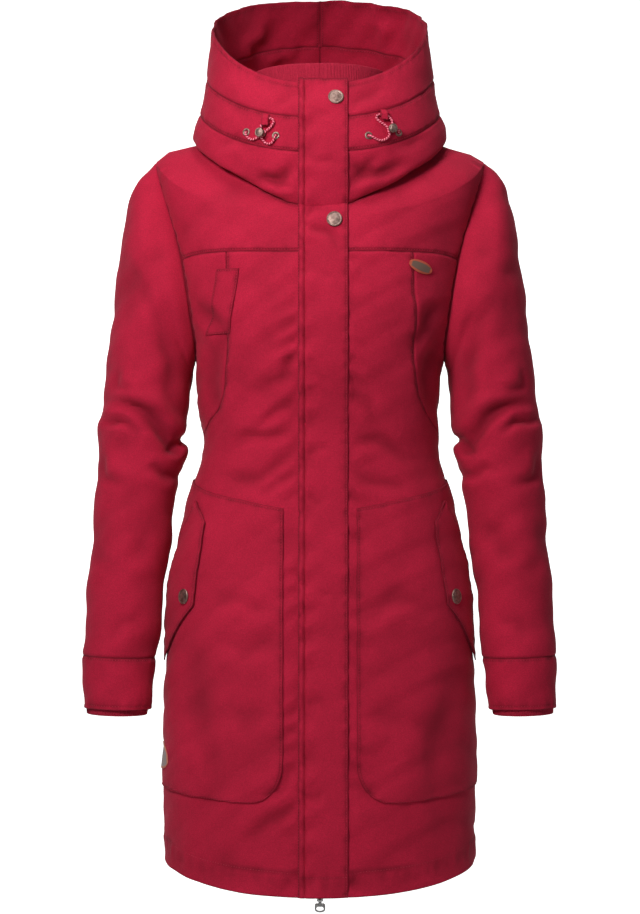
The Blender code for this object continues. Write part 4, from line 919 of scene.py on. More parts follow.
def build_body(step):
    """Fronts, side fronts, yokes and the one-piece back."""
    skirt = HEM + (ARMHOLE_FOOT - HEM) * spacing(ARMHOLE_FOOT - HEM, step, last=False)
    chest = arm_rows(180.0, 90.0)
    near_yoke = ARM_MIDDLE - 1.2 * EDGE_STEPS[::-1]
    near_foot = [BUST_FOOT - 0.4, BUST_FOOT, BUST_FOOT + 5.0]
    rows = np.unique(np.concatenate([skirt, chest, near_yoke, near_foot]).round(2))
    lines = []
    front = body_grid(rows, spacing(230.0, step), zip_edge(rows), bust_seam(rows), under_yoke)
    side_rows = rows[rows >= BUST_FOOT]
    side_front = body_grid(side_rows, spacing(60.0, step), bust_seam(side_rows), armhole_edge(side_rows), under_yoke)
    neck_rows = np.array([NECK - d for d in EDGE_STEPS[::-1]])
    yoke_rows = np.concatenate([ARM_MIDDLE + EDGE_STEPS, arm_rows(90.0, 0.0), [-4.0, 3.0], neck_rows])
    yoke_rows = np.unique(yoke_rows.round(2))
    fade = lambda theta, height: height + (yoke_seam(theta) - ARM_MIDDLE) * np.clip((-80.0 - height) / 52.0, 0.0, 1.0)
    yoke = body_grid(yoke_rows, spacing(150.0, step), zip_edge(yoke_rows), armhole_edge(yoke_rows), fade)
    for side, tag in SIDES:
        flip = mirror(side)
        lines += cloth_piece("front_panel_" + tag, front[0] * flip, front[1] * flip, "front_" + tag,
                             body_folds, edges=dict(first=HEM_EDGE, last=SEAM, left=SEAM, right=TOPSTITCHED),
                             rest=("yoke_panel_" + tag,))
        lines += cloth_piece("side_front_panel_" + tag, side_front[0] * flip, side_front[1] * flip,
                             "side_front_" + tag, body_folds, edges=dict(last=SEAM, left=SEAM, right=TOPSTITCHED),
                             rest=("yoke_panel_" + tag,))
        lines += cloth_piece("yoke_panel_" + tag, yoke[0] * flip, yoke[1] * flip, "yoke_" + tag,
                             body_folds, edges=dict(first=TOPSTITCHED, right=TOPSTITCHED, last=TOPSTITCHED),
                             rest=("back_panel",))
    back_rows = np.unique(np.concatenate([skirt, arm_rows(180.0, 0.0), [-4.0, 3.0], neck_rows]).round(2))
    edge = armhole_edge(back_rows, back=True) - 270.0 + 90.0
    back = body_grid(back_rows, spacing(520.0, 1.5 * step), 180.0 - edge, 180.0 + edge, lambda theta, height: height)
    lines += cloth_piece("back_panel", *back, "back", body_folds,
                         edges=dict(first=HEM_EDGE, last=TOPSTITCHED, left=TOPSTITCHED, right=TOPSTITCHED),
                         rest=("yoke_panel_l", "yoke_panel_r"))
    stitches("body_stitches", lines)


def build_sleeves(step):
    """Sleeves, cuff bands and rib-knit inner cuffs."""
    lines = []
    count = int(390.0 / step)
    phi = np.arange(count) * 360.0 / count
    arm_theta, arm_height = armhole(phi)
    arm_out = normals(body, arm_theta, arm_height)
    upper = even(sleeve, np.array(0.0), 0.0, CUFF_SEAM, step)
    cuff = even(sleeve, np.array(0.0), CUFF_SEAM, CUFF_EDGE, step)
    for side, tag in SIDES:
        flip = mirror(side)
        for name, node, stations, edges in (
                ("sleeve_panel_", "sleeve_", upper, dict(first=SEAM, last=SEAM)),
                ("cuff_band_", "cuff_", cuff, dict(first=TOPSTITCHED, last=("free", 5.0)))):
            u, v = np.broadcast_arrays(phi[None, :], stations[:, None])
            (base, out), under = face_of(sleeve, u, v), None
            if node == "sleeve_":
                out, under = lean(out, arm_out, run_along(base, 0), 6.0), arm_out * flip
            lines += cloth_piece(name + tag, base * flip, out * flip, node + tag, sleeve_folds,
                                 edges=edges, wrap=True, rest=("back_panel", "yoke_panel_" + tag), under=under)
        rib_count = 480
        u = np.arange(rib_count) * 360.0 / rib_count
        root, out = face_of(sleeve, u, np.full(rib_count, RIB_CUFF_TOP))
        down = sleeve(u, np.full(rib_count, CUFF_EDGE)).mean(0) - root.mean(0)
        down = down / np.linalg.norm(down)
        share = spacing(RIB_CUFF_LENGTH, 3.0, first=False)[:, None, None]
        base = root - out * (2.8 + RIB_CUFF_TAPER * share) + down * RIB_CUFF_LENGTH * share
        ribs = np.sqrt(np.abs(np.sin(np.radians(u) * 40.0))) - 0.7
        out = np.broadcast_to(out, base.shape)
        cloth_piece("rib_cuff_band_" + tag, base * flip, out * flip, "rib_cuff_" + tag,
                    lambda point, ribs=ribs: np.broadcast_to(0.75 * ribs, point.shape[:-1]), knit(), "rib_knit",
                    cloth=3.0, edges=dict(last=RAW), wrap=True, held="gathered", rest=("cuff_band_" + tag,))
    stitches("sleeve_stitches", lines)


def build_hood(step):
    """Hood sides, gusset, drawcord channels and face bands."""
    lines = []
    parts = (
        ("hood_side_panel_", "hood_side_", 0.0, CHANNEL_SEAM, GUSSET_FROM, 150.0,
         dict(first=SEAM, last=SEAM, left=SEAM, right=TOPSTITCHED)),
        ("hood_channel_panel_", "hood_channel_", CHANNEL_SEAM, BAND_SEAM, 180.0, 120.0,
         dict(first=TOPSTITCHED, last=TOPSTITCHED, left=SEAM, right=SEAM)),
        ("hood_band_panel_", "hood_band_", BAND_SEAM, FACE_EDGE, 180.0, 60.0,
         dict(first=SEAM, last=("free", 6.0), left=SEAM, right=("seam", 3.0))))
    for name, node, low, high, last, measure, edges in parts:
        level = even(hood, np.array(measure), low, high, step)
        edge = angle_at(ZIP_GAP, read_table(HOOD_COLUMNS, HOOD_RINGS, level)["half_width"])
        theta = fan(edge, np.full(len(level), last), spacing(400.0 * last / 180.0, step))
        level = np.broadcast_to(level[:, None], theta.shape)
        base, out = face_of(hood, theta, level)
        neck_out = normals(body, theta[0], np.full(theta.shape[1], NECK))
        if low == 0.0:
            out = lean(out, neck_out, run_along(base, 0), 6.0)
        for side, tag in SIDES:
            flip = mirror(side)
            lines += cloth_piece(name + tag, base * flip, out * flip, node + tag, hood_folds,
                                 edges=edges, rest=("yoke_panel_" + tag, "back_panel"), inside=True,
                                 under=neck_out * flip if low == 0.0 else None)
    level = even(hood, np.array(180.0), 0.0, CHANNEL_SEAM, step)
    theta, level = np.broadcast_arrays(np.linspace(GUSSET_FROM, 360.0 - GUSSET_FROM, 33)[None, :], level[:, None])
    base, out = face_of(hood, theta, level)
    neck_out = normals(body, theta[0], np.full(theta.shape[1], NECK))
    out = lean(out, neck_out, run_along(base, 0), 6.0)
    lines += cloth_piece("hood_gusset_panel", base, out, "hood_gusset", hood_folds,
                         edges=dict(first=SEAM, last=SEAM, left=SEAM, right=SEAM),
                         rest=("back_panel",), inside=True, under=neck_out)
    stitches("hood_stitches", lines)


def build_collar():
    """The rib-knit collar: 150 ribs, each the square root of a sine, on the collar's rings."""
    theta = np.linspace(0.05, 359.95, 901)
    level = even(collar, np.array(180.0), 0.0, 3.0, 6.0, first=False)
    theta, level = np.broadcast_arrays(theta[None, :], level[:, None])
    base, out = face_of(collar, theta, level)
    ribs = 0.8 * np.sqrt(np.abs(np.sin(np.radians(theta) * 75.0))) - 0.5
    cloth_piece("rib_collar_band", base, out, "rib_collar", lambda point: ribs + 0.5 * waves(point, 30.0),
                knit(), "rib_knit", cloth=3.0, edges=dict(last=RAW), held="gathered", rest=("back_panel",))


def front_strip(xs, step, top_level):
    """Points and normals of the strip over the centre front: body rows from the hem to the neck, then
    hood levels up to the given one."""
    heights = HEM + (NECK - HEM) * spacing(NECK - HEM, step, last=False)[:-1]
    levels = even(hood, np.array(8.0), 0.05, top_level, step, first=False)
    parts = []
    for surface, columns, rings, rows in ((body, BODY_COLUMNS, BODY_RINGS, heights),
                                          (hood, HOOD_COLUMNS, HOOD_RINGS, levels)):
        theta = angle_at(xs, read_table(columns, rings, rows)["half_width"][:, None])
        parts.append(face_of(surface, theta, np.broadcast_to(rows[:, None], theta.shape)))
    return [np.concatenate(part) for part in zip(*parts)]


PLACKET_CREASES = (
    (-20, -96, 30, -128, 5, 5.5, 3.4, 0), (-20, -86, 12, -80, 3, 5, 2.0, 0), (-22, -150, 20, -160, 3, 6, 1.4, 0),
    (-20, 36, 18, 26, 3, 5, 1.4, 0), (-20, -20, 28, -34, 4, 6, 2.0, 0), (-18, -268, 10, -276, 2, 5, 1.2, 0),
    (-18, -356, 14, -346, -3, 6, 1.6, 0), (-18, -410, 8, -418, 2, 5, 1.2, 0), (-18, -520, 16, -512, -3, 6, 1.2, 0),
    (-18, -640, 12, -650, 3, 6, 1.3, 0), (-18, -752, 10, -744, -2, 6, 1.2, 0),
)


def placket_folds(point):
    """The body's folds, with a raised tube along the sewn side that puckers, and short drag lines off it."""
    x, z = point[..., 0], point[..., 2]
    tube = 1.9 * np.exp(-((x + 21.2) / 2.4) ** 2) - 1.9 * np.exp(-((x + 17.2) / 1.1) ** 2)
    pull = np.sin((z + 0.9 * x) / 1.9 + 1.5 * np.sin(z / 19.0)) * (0.6 + 0.4 * np.sin(z / 31.0))
    off = np.maximum(x + 17.0, 0.0)
    drag = np.sin((z - 0.35 * x) / 6.4 + 2.0 * np.sin(z / 43.0)) * np.exp(-(off / 15.0) ** 2)
    return (creases(point, PLACKET_CREASES) + 1.2 * waves(point, 34.0) + 0.5 * waves(point, 13.0, 1.0)
            + tube + 0.9 * pull * np.exp(-((x + 19.5) / 4.0) ** 2) + 1.7 * drag
            + 0.45 * np.sin((z + x) / 4.7 + np.sin(z / 27.0)) * np.exp(-((x - 30.0) / 4.0) ** 2))


def build_placket():
    """The storm placket: arched over the zip, sewn on the viewer's left and free on the right."""
    xs = PLACKET_SEWN_X + (PLACKET_FREE_X - PLACKET_SEWN_X) * spacing(PLACKET_FREE_X - PLACKET_SEWN_X, 1.8)
    base, out = front_strip(xs, 2.2, 7.0)
    top = base[-1:] + (base[-1:] - base[-2:-1]) * (PLACKET_TOP_RISE / (base[-1, 0, 2] - base[-2, 0, 2]))
    base, out = np.concatenate([base, top]), np.concatenate([out, out[-1:]])
    across = 2.0 * (base[..., 0] - PLACKET_SEWN_X) / (PLACKET_FREE_X - PLACKET_SEWN_X) - 1.0
    foot = 1.0 - ramp(-864.6, -824.6, base[..., 2])
    lift = 0.3 + (1.4 + 2.2 * foot) * (1 - np.clip(across, -1, 1) ** 2) + 2.6
    lines = cloth_piece("storm_placket", base, out, "placket", placket_folds, cloth=2.6, lift=lift,
                        edges=dict(left=("free", 0.9), right=("free", 2.6), first=("free", 24.0), last=("free", 2.6)),
                        rest=("front_panel_r", "yoke_panel_r"))
    seam = np.abs(xs + 17.4).argmin()
    height = lift + placket_folds(base)
    lines.append(((base + out * height[..., None])[:, seam], out[:, seam]))
    stitches("placket_stitches", lines)


def build_pockets(step):
    """Patch pockets, their side flaps and the slanted chest welt."""
    lines = []
    top = np.array(POCKET_TOP)
    low = POCKET_CORNER * (1 - np.cos(np.radians(np.linspace(0.0, 90.0, 26))))
    high = POCKET_CORNER + (POCKET_HEIGHT - POCKET_CORNER) * spacing(POCKET_HEIGHT - POCKET_CORNER, step, first=False)
    share_up = np.unique(np.concatenate([low, high])) / POCKET_HEIGHT
    rows = POCKET_FOOT + POCKET_HEIGHT * share_up
    corner = np.clip((POCKET_FOOT + POCKET_CORNER - rows) / POCKET_CORNER, 0.0, 1.0)
    front_x = POCKET_FRONT_X + POCKET_CORNER * (1 - np.sqrt(1 - corner ** 2))
    front = angle_at(front_x, read_table(BODY_COLUMNS, BODY_RINGS, rows)["half_width"])
    theta = fan(front, np.full(len(rows), POCKET_SIDE), spacing(190.0, step))
    level = POCKET_FOOT + share_up[:, None] * (np.interp(theta, top[:, 0], top[:, 1]) - POCKET_FOOT)
    pocket = face_of(body, theta, level)
    table = np.array(FLAP_ROWS)
    flap_rows = table[0, 0] + (table[-1, 0] - table[0, 0]) * spacing(table[-1, 0] - table[0, 0], step)
    theta = fan(np.interp(flap_rows, table[:, 0], table[:, 1]), np.interp(flap_rows, table[:, 0], table[:, 2]),
                spacing(90.0, step))
    flap = face_of(body, theta, np.broadcast_to(flap_rows[:, None], theta.shape))
    for side, tag in SIDES:
        flip = mirror(side)
        lines += cloth_piece("patch_pocket_" + tag, pocket[0] * flip, pocket[1] * flip, "pocket_" + tag,
                             body_folds, cloth=1.6, lift=1.9,
                             edges=dict(left=POCKET_EDGE, first=POCKET_EDGE, last=POCKET_EDGE),
                             held="laid", rest=("front_panel_" + tag,))
        lines += cloth_piece("side_flap_" + tag, flap[0] * flip, flap[1] * flip, "pocket_flap_" + tag,
                             body_folds, cloth=2.0, lift=5.5,
                             edges=dict(left=POCKET_EDGE, right=POCKET_EDGE, first=RAW),
                             rest=("patch_pocket_" + tag,))
    across, up = spacing(26.0, 2.0)[None, :, None], spacing(78.0, 2.4)[:, None, None]
    foot = np.array(WELT_FOOT[0]) * (1 - across) + np.array(WELT_FOOT[1]) * across
    head = np.array(WELT_TOP[0]) * (1 - across) + np.array(WELT_TOP[1]) * across
    place = foot * (1 - up) + head * up
    base, out = on_body(place[..., 0], place[..., 1])
    slit = lambda point: body_folds(point) + 0.5 * np.sin(point[..., 2] / 8.0)
    lines += cloth_piece("chest_welt_strip", base, out, "chest_welt", slit, cloth=1.4, lift=1.7,
                         edges=dict(left=("free", 2.4), right=("free", 2.4), last=("free", 2.0), first=("free", 2.0)),
                         held="laid", rest=("front_panel_r",))
    stitches("pocket_stitches", lines)


# ---------------------------------------------------------------- trims

def axes_along(axis):
    """Two unit vectors square to an axis and to each other."""
    axis = np.asarray(axis, float) / np.linalg.norm(axis)
    first = np.cross(axis, [0.0, 0.0, 1.0] if abs(axis[2]) < 0.9 else [1.0, 0.0, 0.0])
    first /= np.linalg.norm(first)
    return first, np.cross(axis, first), axis


def tube(name, grid, material, caps=True):
    """Rings of points joined to a closed tube, with a cap at both ends or the last ring joined to the first."""
    rows, sides = grid.shape[:2]
    index = np.arange(rows * sides).reshape(rows, sides)
    around = np.concatenate([index, index[:, :1]], 1)
    if not caps:
        around = np.concatenate([around, around[:1]])
    faces = np.stack([around[:-1, :-1], around[:-1, 1:], around[1:, 1:], around[1:, :-1]], -1).reshape(-1, 4)
    ends = [index[0][::-1], index[-1]] if caps else []
    return make_object(name, grid.reshape(-1, 3), faces, np.zeros((len(faces), 4, 2)), material, ends)


def turned(name, profile, foot, axis, material, sides=56, caps=True):
    """A profile of radius and height spun round an axis from a foot point: the circle's cosine and sine
    times the radius, plus the height along the axis. Without caps, the profile's end meets its start."""
    first, second, axis = axes_along(axis)
    profile = np.array(profile, float)
    angle = np.linspace(0.0, 2 * np.pi, sides, endpoint=False)
    circle = np.cos(angle)[:, None] * first + np.sin(angle)[:, None] * second
    grid = np.asarray(foot) + profile[:, None, :1] * circle + profile[:, None, 1:] * axis
    return tube(name, grid, material, caps)


STUD_PROFILE = ((0.3, 0.0), (8.8, 0.0), (9.0, 0.25), (9.0, 0.9), (8.85, 1.35), (8.5, 1.75), (8.1, 1.9), (7.7, 1.8),
                (7.3, 1.5), (6.9, 1.45), (6.4, 1.6), (5.4, 1.85), (4.2, 2.05), (2.4, 2.2), (0.3, 2.25))
EYELET_PROFILE = ((2.2, 0.05), (4.6, 0.0), (4.55, 0.4), (4.3, 0.75), (3.6, 1.0), (2.9, 0.95), (2.4, 0.65), (2.2, 0.3))
LOCK_PROFILE = ((0.3, 0.0), (4.0, 0.0), (4.4, 0.25), (4.6, 0.7), (4.6, 1.6), (4.35, 1.85), (4.35, 5.0), (4.6, 5.3),
                (4.6, 6.2), (4.4, 6.55), (2.8, 6.6), (2.5, 6.3), (2.5, 1.6), (0.3, 1.6))
BUTTON_PROFILE = ((0.3, 6.9), (2.0, 6.9), (2.1, 7.1), (2.1, 8.8), (4.8, 8.8), (5.1, 9.0), (5.2, 9.5), (5.0, 9.9),
                  (4.5, 10.15), (4.1, 10.0), (3.7, 10.0), (3.4, 10.3), (2.2, 10.7), (0.3, 10.85))


def build_studs():
    """Four domed press-stud caps with a rolled rim."""
    metal = antique_metal()
    places = [("stud_top", *at_one(on_hood, STUD_TOP[0], STUD_TOP[1]), 4.2),
              ("stud_chest", *at_one(on_body, STUD_CHEST[0], STUD_CHEST[1]), 4.2)]
    point, out = at_one(lambda theta, level: face_of(body, theta, level), STUD_FLAP[0], STUD_FLAP[1])
    places += [("stud_flap_" + tag, point * mirror(side), out * mirror(side), 5.4) for side, tag in SIDES]
    for node, point, out, lift in places:
        piece = turned(node + "_cap", STUD_PROFILE, point + out * lift, out, metal)
        assign(piece, [node])


def build_zip():
    """Zip tape with its chain raised on it; the teeth are waves of the chain's height and side."""
    half = np.array([-12.0, -11.8, -3.3, -3.0, -1.6, 0.0, 1.6, 3.0, 3.3, 11.8, 12.0])
    base, out = front_strip(half, 0.8, 6.9)
    run = run_along(base, 0)
    tooth = 0.5 + 0.5 * np.sin(run / 1.25 * np.pi + np.where(half > 0, np.pi, 0.0)[None, :])
    chain = np.array([0.0, 0.0, 0.0, 1.0, 1.0, 0.7, 1.0, 1.0, 0.0, 0.0, 0.0])
    height = -3.1 + chain * (1.7 + 0.6 * tooth)
    outer = base + out * height[..., None]
    inner = base + out * -4.3
    piece = closed_wall("zip_chain", outer, inner, tape())
    assign(piece, ["zip"])
    sheet_of(base, False)
    for node in ("zip_slider", "zip_pull"):
        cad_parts[node].data.materials.clear()
        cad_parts[node].data.materials.append(zinc())


def build_cord_hardware():
    """Eyelets, folded cord tabs, lock barrels and the sprung buttons that ride on their own bodies."""
    metal = antique_metal()
    for node, (x, z) in EYELETS.items():
        point, out = at_one(on_hood, x, z)
        piece = turned(node + "_ring", EYELET_PROFILE, point + out * 0.3, out, metal, 40, caps=False)
        assign(piece, [node])
    for node, (x, top, foot) in TABS.items():
        xs = x + TAB_HALF_WIDTH * (2 * spacing(2 * TAB_HALF_WIDTH, 0.9) - 1)
        zs = foot + (top - foot) * spacing(top - foot, 0.9)
        base, out = on_hood(*np.broadcast_arrays(xs[None, :], zs[:, None]))
        lift = 0.3 + TAB_STAND * ramp(0.0, 0.45, (top - zs) / (top - foot))[:, None] + 1.4
        # A tab is 8 mm wide, and a declared sheet at least 10 mm.
        cloth_piece(node + "_loop", base, out, node, lambda point: 0.15 * waves(point, 2.0), cloth=1.4, lift=lift,
                    edges=dict(left=RAW, right=RAW, first=RAW), held=None)
    for tag, ((x, z), axis) in LOCKS.items():
        foot = at_one(on_hood, x, z)[0]
        axis = np.array(axis) / np.linalg.norm(axis)
        for name, profile, node, body_name in (
                ("cord_lock_barrel_", LOCK_PROFILE, "cord_lock_", "garment"),
                ("cord_lock_button_", BUTTON_PROFILE, "lock_button_", "lock_button_" + tag)):
            piece = turned(name + tag, profile, foot + axis * LOCK_STAND, axis, metal)
            assign(piece, [node + tag], rides=body_name)


def build_cords():
    """One twisted drawcord a side. The section's radius is the cord's, less a share of the square of a
    cosine that turns once every 3.1 mm, so that two plies show."""
    trims = bpy.context.scene.parka_trims
    for tag, route in CORD_ROUTES.items():
        route = np.array(route)
        point, out = on_hood(route[:, 0], route[:, 1])
        knots = point + out * route[:, 2:]
        run = run_along(knots, 0)
        at = np.linspace(0.0, run[-1], int(run[-1] / 0.38))
        slope = np.gradient(knots, run, axis=0)
        i = np.clip(np.searchsorted(run, at, side="right") - 1, 0, len(run) - 2)
        span = (run[i + 1] - run[i])[:, None]
        line = hermite(knots, slope, i, (at - run[i])[:, None] / span, span)
        along = np.gradient(line, axis=0)
        along /= np.linalg.norm(along, axis=1, keepdims=True)
        first = np.cross(along, [0.0, -1.0, 0.3])
        first /= np.linalg.norm(first, axis=1, keepdims=True)
        second = np.cross(along, first)
        length = run_along(line, 0)
        angle = np.linspace(0.0, 2 * np.pi, 16, endpoint=False)
        twist = angle[None, :] + 2 * np.pi * length[:, None] / trims.cord_twist * MM
        radius = CORD_DIAMETER / 2 * (1.06 - 0.24 * np.sin(twist) ** 2)
        grid = line[:, None] + radius[..., None] * (np.cos(angle)[None, :, None] * first[:, None]
                                                    + np.sin(angle)[None, :, None] * second[:, None])
        piece = tube("drawcord_" + tag, grid, braid())
        mark(piece, "ply", 0.5 + 0.5 * np.cos(twist))
        assign(piece, ["cord_%s_%d" % (tag, k) for k in (1, 2, 3)])


def almond(columns, rows):
    """A pointed oval's grid in -1 to 1: the rows' reach is the square root of 1 less u squared."""
    u = np.linspace(-1.0, 1.0, columns)[None, :]
    v = np.linspace(-1.0, 1.0, rows)[:, None]
    return np.broadcast_arrays(u, v * np.sqrt(np.clip(1.0 - (0.97 * u) ** 2, 0.0, 1.0)), v)


def mark_rim(piece, share):
    """Mark a patch with a share from 0 in its middle to 1 at its edge, the same on both its faces."""
    mark(piece, "rim", np.concatenate([share, share]))


def build_patches():
    """The bare leather oval on the chest and the bare woven label round the side."""
    u, v, row = almond(61, 31)
    tilt = math.radians(BADGE_TILT)
    along, over = u * BADGE_HALF_SIZE[0], v * BADGE_HALF_SIZE[1]
    base, out = on_body(BADGE_CENTRE[0] + along * math.cos(tilt) - over * math.sin(tilt),
                        BADGE_CENTRE[1] + along * math.sin(tilt) + over * math.cos(tilt))
    rim = np.clip(np.maximum(np.abs(row), u ** 2) ** 3, 0.0, 1.0)
    raised = lambda point: body_folds(point) - 0.35 * np.exp(-((rim - 0.5) / 0.12) ** 2)
    cloth_piece("leather_oval", base, out, "chest_badge", raised, leather(), "leather", cloth=1.5, lift=1.8,
                edges=dict(first=RAW, last=RAW), held="laid", rest=("front_panel_l",))
    mark_rim(bpy.data.objects["leather_oval"], rim)
    u, v, row = almond(61, 31)
    theta, level = LABEL_CENTRE[0] + u * LABEL_HALF_ANGLE, LABEL_CENTRE[1] + v * LABEL_HALF_HEIGHT
    base, out = face_of(body, theta, level)
    lift = 0.3 + 1.9 * ramp(-94.0, -89.0, theta) + 0.8
    cloth_piece("side_label_patch", base, out, "side_label", body_folds, woven_label(), "woven_label", cloth=0.8,
                lift=lift, held="folded", rest=("patch_pocket_r",))
    mark_rim(bpy.data.objects["side_label_patch"], np.clip(np.maximum(np.abs(row), u ** 2) ** 3, 0.0, 1.0))


# ---------------------------------------------------------------- stage

def build_stage():
    """A pale floor that sweeps up behind, soft lights and the camera at the photograph's angle."""
    stage = bpy.context.scene.parka_stage
    scene = bpy.context.scene
    paper, tree, shader, place = new_material(
        "white seamless paper", roughness=0.9, base_color=(0.93, 0.93, 0.93, 1.0), specular_ior_level=0.1,
        emission_color=(1.0, 1.0, 1.0, 1.0))
    if tree is not None:
        depth = add_node(tree, "SeparateXYZ", links={"Vector": place["Object"]}).outputs["Y"]
        lit = add_node(tree, "MapRange", {"From Min": 0.9, "From Max": 1.5, "To Max": stage.glow}, {"Value": depth})
        tree.links.new(lit.outputs["Result"], shader.inputs["Emission Strength"])
        tree.links.new(bump(tree, spots(tree, place["Object"], 300.0), 0.0002, 0.1), shader.inputs["Normal"])
    turn = np.radians(np.linspace(0.0, 90.0, 24))
    depth = np.concatenate([[-3000.0, 1300.0], 4500.0 + 700.0 * np.sin(turn), [5200.0]])
    height = np.concatenate([[0.0, 0.0], 700.0 * (1 - np.cos(turn)), [4200.0]]) - 1200.0
    across = np.linspace(-3000.0, 3000.0, 9)
    x, y = np.broadcast_arrays(across[None, :], depth[:, None])
    grid = np.stack([x, y, np.broadcast_to(height[:, None], x.shape)], -1)
    below = grid + np.array([0.0, 12.0, -12.0])
    sweep = closed_wall("studio_sweep", grid, below, paper)
    world = bpy.data.worlds.new("studio")
    world.use_nodes = True
    world.node_tree.nodes["Background"].inputs["Color"].default_value = (1.0, 1.0, 1.0, 1.0)
    world.node_tree.nodes["Background"].inputs["Strength"].default_value = stage.ambient
    scene.world = world
    for name, place, size, power in (("key", (-0.55, -1.3, 0.5), 0.5, stage.key_power),
                                     ("top", (0.05, -0.4, 1.3), 0.6, stage.top_power),
                                     ("fill", (2.1, -2.4, 0.2), 2.0, stage.fill_power)):
        light = bpy.data.lights.new(name, "AREA")
        light.shape, light.size, light.energy = "DISK", size, power
        lamp = bpy.data.objects.new(name, light)
        scene.collection.objects.link(lamp)
        first, second, axis = axes_along(np.array(place) - np.array([0.0, 0.0, -0.35]))
        lamp.matrix_world = Matrix([(first[i], second[i], axis[i], place[i]) for i in range(3)] + [(0, 0, 0, 1)])
        lamp.visible_camera = False
    camera = bpy.data.cameras.new("camera")
    camera.lens, camera.sensor_width = stage.lens, 36.0
    viewer = bpy.data.objects.new("camera", camera)
    viewer.location = (0.0, -stage.distance, stage.eye_height)
    viewer.rotation_euler = (math.radians(90.0), 0.0, 0.0)
    scene.collection.objects.link(viewer)
    scene.camera = viewer
    scene.view_settings.view_transform = "Standard"
    scene.view_settings.look = "None"


# ---------------------------------------------------------------- the add-on

def color_of(name, description, color):
    """A colour setting."""
    return FloatVectorProperty(name=name, description=description, size=3, subtype="COLOR", min=0.0, max=1.0,
                               default=linear(color))


def amount(name, description, **limits):
    """A number setting."""
    return FloatProperty(name=name, description=description, **limits)


class ParkaCloth(bpy.types.PropertyGroup):
    """Sizes and colours of the canvas."""
    canvas_color: color_of("Canvas", "Colour of the canvas in full light", "#B81839")
    canvas_shade: color_of("Canvas shade", "Darker tone of the dyed canvas", "#AC1534")
    weave_pitch: amount("Weave", "Distance between two warp threads", unit="LENGTH", min=0.0003, max=0.003,
                        precision=5, default=0.0009)
    stitch_pitch: amount("Stitch", "Length of one stitch with its gap", unit="LENGTH", min=0.002, max=0.008,
                         precision=4, default=0.0034)
    mesh_step: amount("Mesh step", "Distance between two rows of a cloth mesh", unit="LENGTH", min=0.002, max=0.01,
                      precision=4, default=0.004)


class ParkaTrims(bpy.types.PropertyGroup):
    """Sizes and colours of the metal and the cords."""
    metal_dark: color_of("Metal, dark", "Antique nickel in its hollows", "#6A524A")
    metal_rubbed: color_of("Metal, rubbed", "Antique nickel where it is rubbed", "#AE9188")
    cord_bright: color_of("Cord, bright", "The bright ply of the drawcord", "#F58499")
    cord_dark: color_of("Cord, dark", "The dark ply of the drawcord", "#A81536")
    cord_twist: amount("Cord twist", "Length of one turn of the plies", unit="LENGTH", min=0.002, max=0.02,
                       precision=4, default=0.0031)


class ParkaStage(bpy.types.PropertyGroup):
    """Camera and lights."""
    distance: amount("Camera distance", "From the camera to the garment's middle plane", unit="LENGTH", min=1.0,
                     max=10.0, default=4.0)
    eye_height: amount("Camera height", "The camera's height over the shoulder line", unit="LENGTH", min=-2.0,
                       max=2.0, default=-0.362)
    lens: amount("Lens", "Focal length", unit="CAMERA", min=20.0, max=300.0, default=133.5)
    key_power: amount("Key light", "Power of the light from the upper left", unit="POWER", min=0.0, max=500.0,
                      default=20.5)
    top_power: amount("Top light", "Power of the light over the hood", unit="POWER", min=0.0, max=500.0, default=8.0)
    fill_power: amount("Fill light", "Power of the light from the right", unit="POWER", min=0.0, max=500.0,
                       default=2.0)
    glow: amount("Background glow", "Light that the backlit sweep gives off", min=0.0, max=3.0, default=0.9)
    ambient: amount("Ambient", "Strength of the studio's white surroundings", min=0.0, max=3.0, default=0.12)


def step_of(context):
    return context.scene.parka_cloth.mesh_step / MM * 1.0


class PARKA_OT_body(bpy.types.Operator):
    """Fronts, side fronts, yokes and back"""
    bl_idname = "parka.body"
    bl_label = "Body panels"

    def execute(self, context):
        build_body(step_of(context))
        return {"FINISHED"}


class PARKA_OT_sleeves(bpy.types.Operator):
    """Sleeves, cuff bands and rib cuffs"""
    bl_idname = "parka.sleeves"
    bl_label = "Sleeves"

    def execute(self, context):
        build_sleeves(step_of(context))
        return {"FINISHED"}


class PARKA_OT_hood(bpy.types.Operator):
    """Hood sides, gusset, channels and bands"""
    bl_idname = "parka.hood"
    bl_label = "Hood"

    def execute(self, context):
        build_hood(step_of(context))
        return {"FINISHED"}


class PARKA_OT_collar(bpy.types.Operator):
    """The rib-knit collar inside the hood"""
    bl_idname = "parka.collar"
    bl_label = "Rib collar"

    def execute(self, context):
        build_collar()
        return {"FINISHED"}


class PARKA_OT_placket(bpy.types.Operator):
    """The storm placket over the zip"""
    bl_idname = "parka.placket"
    bl_label = "Storm placket"

    def execute(self, context):
        build_placket()
        return {"FINISHED"}


class PARKA_OT_pockets(bpy.types.Operator):
    """Patch pockets, side flaps and the chest welt"""
    bl_idname = "parka.pockets"
    bl_label = "Pockets"

    def execute(self, context):
        build_pockets(step_of(context))
        return {"FINISHED"}


class PARKA_OT_zip(bpy.types.Operator):
    """Zip tape with its chain, and the finish of its slider and pull"""
    bl_idname = "parka.zip"
    bl_label = "Zip"

    def execute(self, context):
        build_zip()
        return {"FINISHED"}


class PARKA_OT_studs(bpy.types.Operator):
    """Press-stud caps"""
    bl_idname = "parka.studs"
    bl_label = "Press studs"

    def execute(self, context):
        build_studs()
        return {"FINISHED"}


class PARKA_OT_cord_hardware(bpy.types.Operator):
    """Eyelets, cord tabs and cord locks"""
    bl_idname = "parka.cord_hardware"
    bl_label = "Cord hardware"

    def execute(self, context):
        build_cord_hardware()
        return {"FINISHED"}


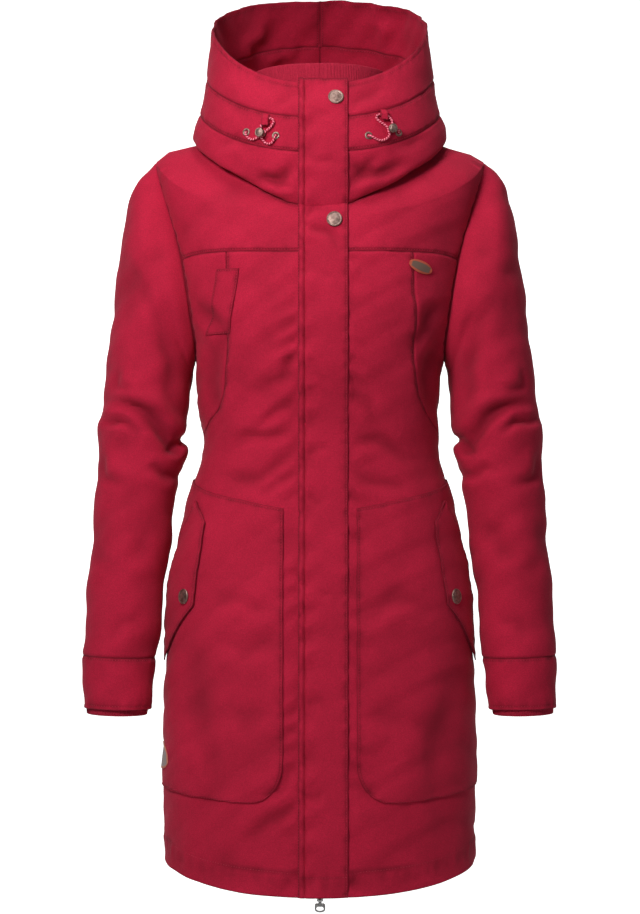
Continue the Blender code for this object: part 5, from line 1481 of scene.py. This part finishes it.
class PARKA_OT_cords(bpy.types.Operator):
    """The hood's drawcords"""
    bl_idname = "parka.cords"
    bl_label = "Drawcords"

    def execute(self, context):
        build_cords()
        return {"FINISHED"}


class PARKA_OT_patches(bpy.types.Operator):
    """The leather oval and the side label, both bare"""
    bl_idname = "parka.patches"
    bl_label = "Patches"

    def execute(self, context):
        build_patches()
        return {"FINISHED"}


class PARKA_OT_stage(bpy.types.Operator):
    """Floor, lights and camera"""
    bl_idname = "parka.stage"
    bl_label = "Stage"

    def execute(self, context):
        build_stage()
        return {"FINISHED"}


OPERATORS = (PARKA_OT_stage, PARKA_OT_cords, PARKA_OT_body, PARKA_OT_sleeves, PARKA_OT_hood, PARKA_OT_collar,
             PARKA_OT_placket, PARKA_OT_pockets, PARKA_OT_zip, PARKA_OT_studs, PARKA_OT_cord_hardware,
             PARKA_OT_patches)


class PARKA_PT_panel(bpy.types.Panel):
    """Lists the parka's sizes, colours and operators"""
    bl_idname = "PARKA_PT_panel"
    bl_label = "Parka"
    bl_space_type = "VIEW_3D"
    bl_region_type = "UI"
    bl_category = "Parka"

    def draw(self, context):
        for group in (context.scene.parka_cloth, context.scene.parka_trims, context.scene.parka_stage):
            box = self.layout.box()
            for name in group.__annotations__:
                box.prop(group, name)
        column = self.layout.column()
        for operator in OPERATORS:
            column.operator(operator.bl_idname)


GROUPS = (("parka_cloth", ParkaCloth), ("parka_trims", ParkaTrims), ("parka_stage", ParkaStage))


def register():
    for name, group in GROUPS:
        bpy.utils.register_class(group)
        setattr(bpy.types.Scene, name, PointerProperty(type=group))
    for operator in OPERATORS:
        bpy.utils.register_class(operator)
    bpy.utils.register_class(PARKA_PT_panel)


def unregister():
    bpy.utils.unregister_class(PARKA_PT_panel)
    for operator in reversed(OPERATORS):
        bpy.utils.unregister_class(operator)
    for name, group in reversed(GROUPS):
        delattr(bpy.types.Scene, name)
        bpy.utils.unregister_class(group)


def main():
    register()
    for operator in OPERATORS:
        group, name = operator.bl_idname.split(".")
        getattr(getattr(bpy.ops, group), name)()


if __name__ == "__main__":
    main()
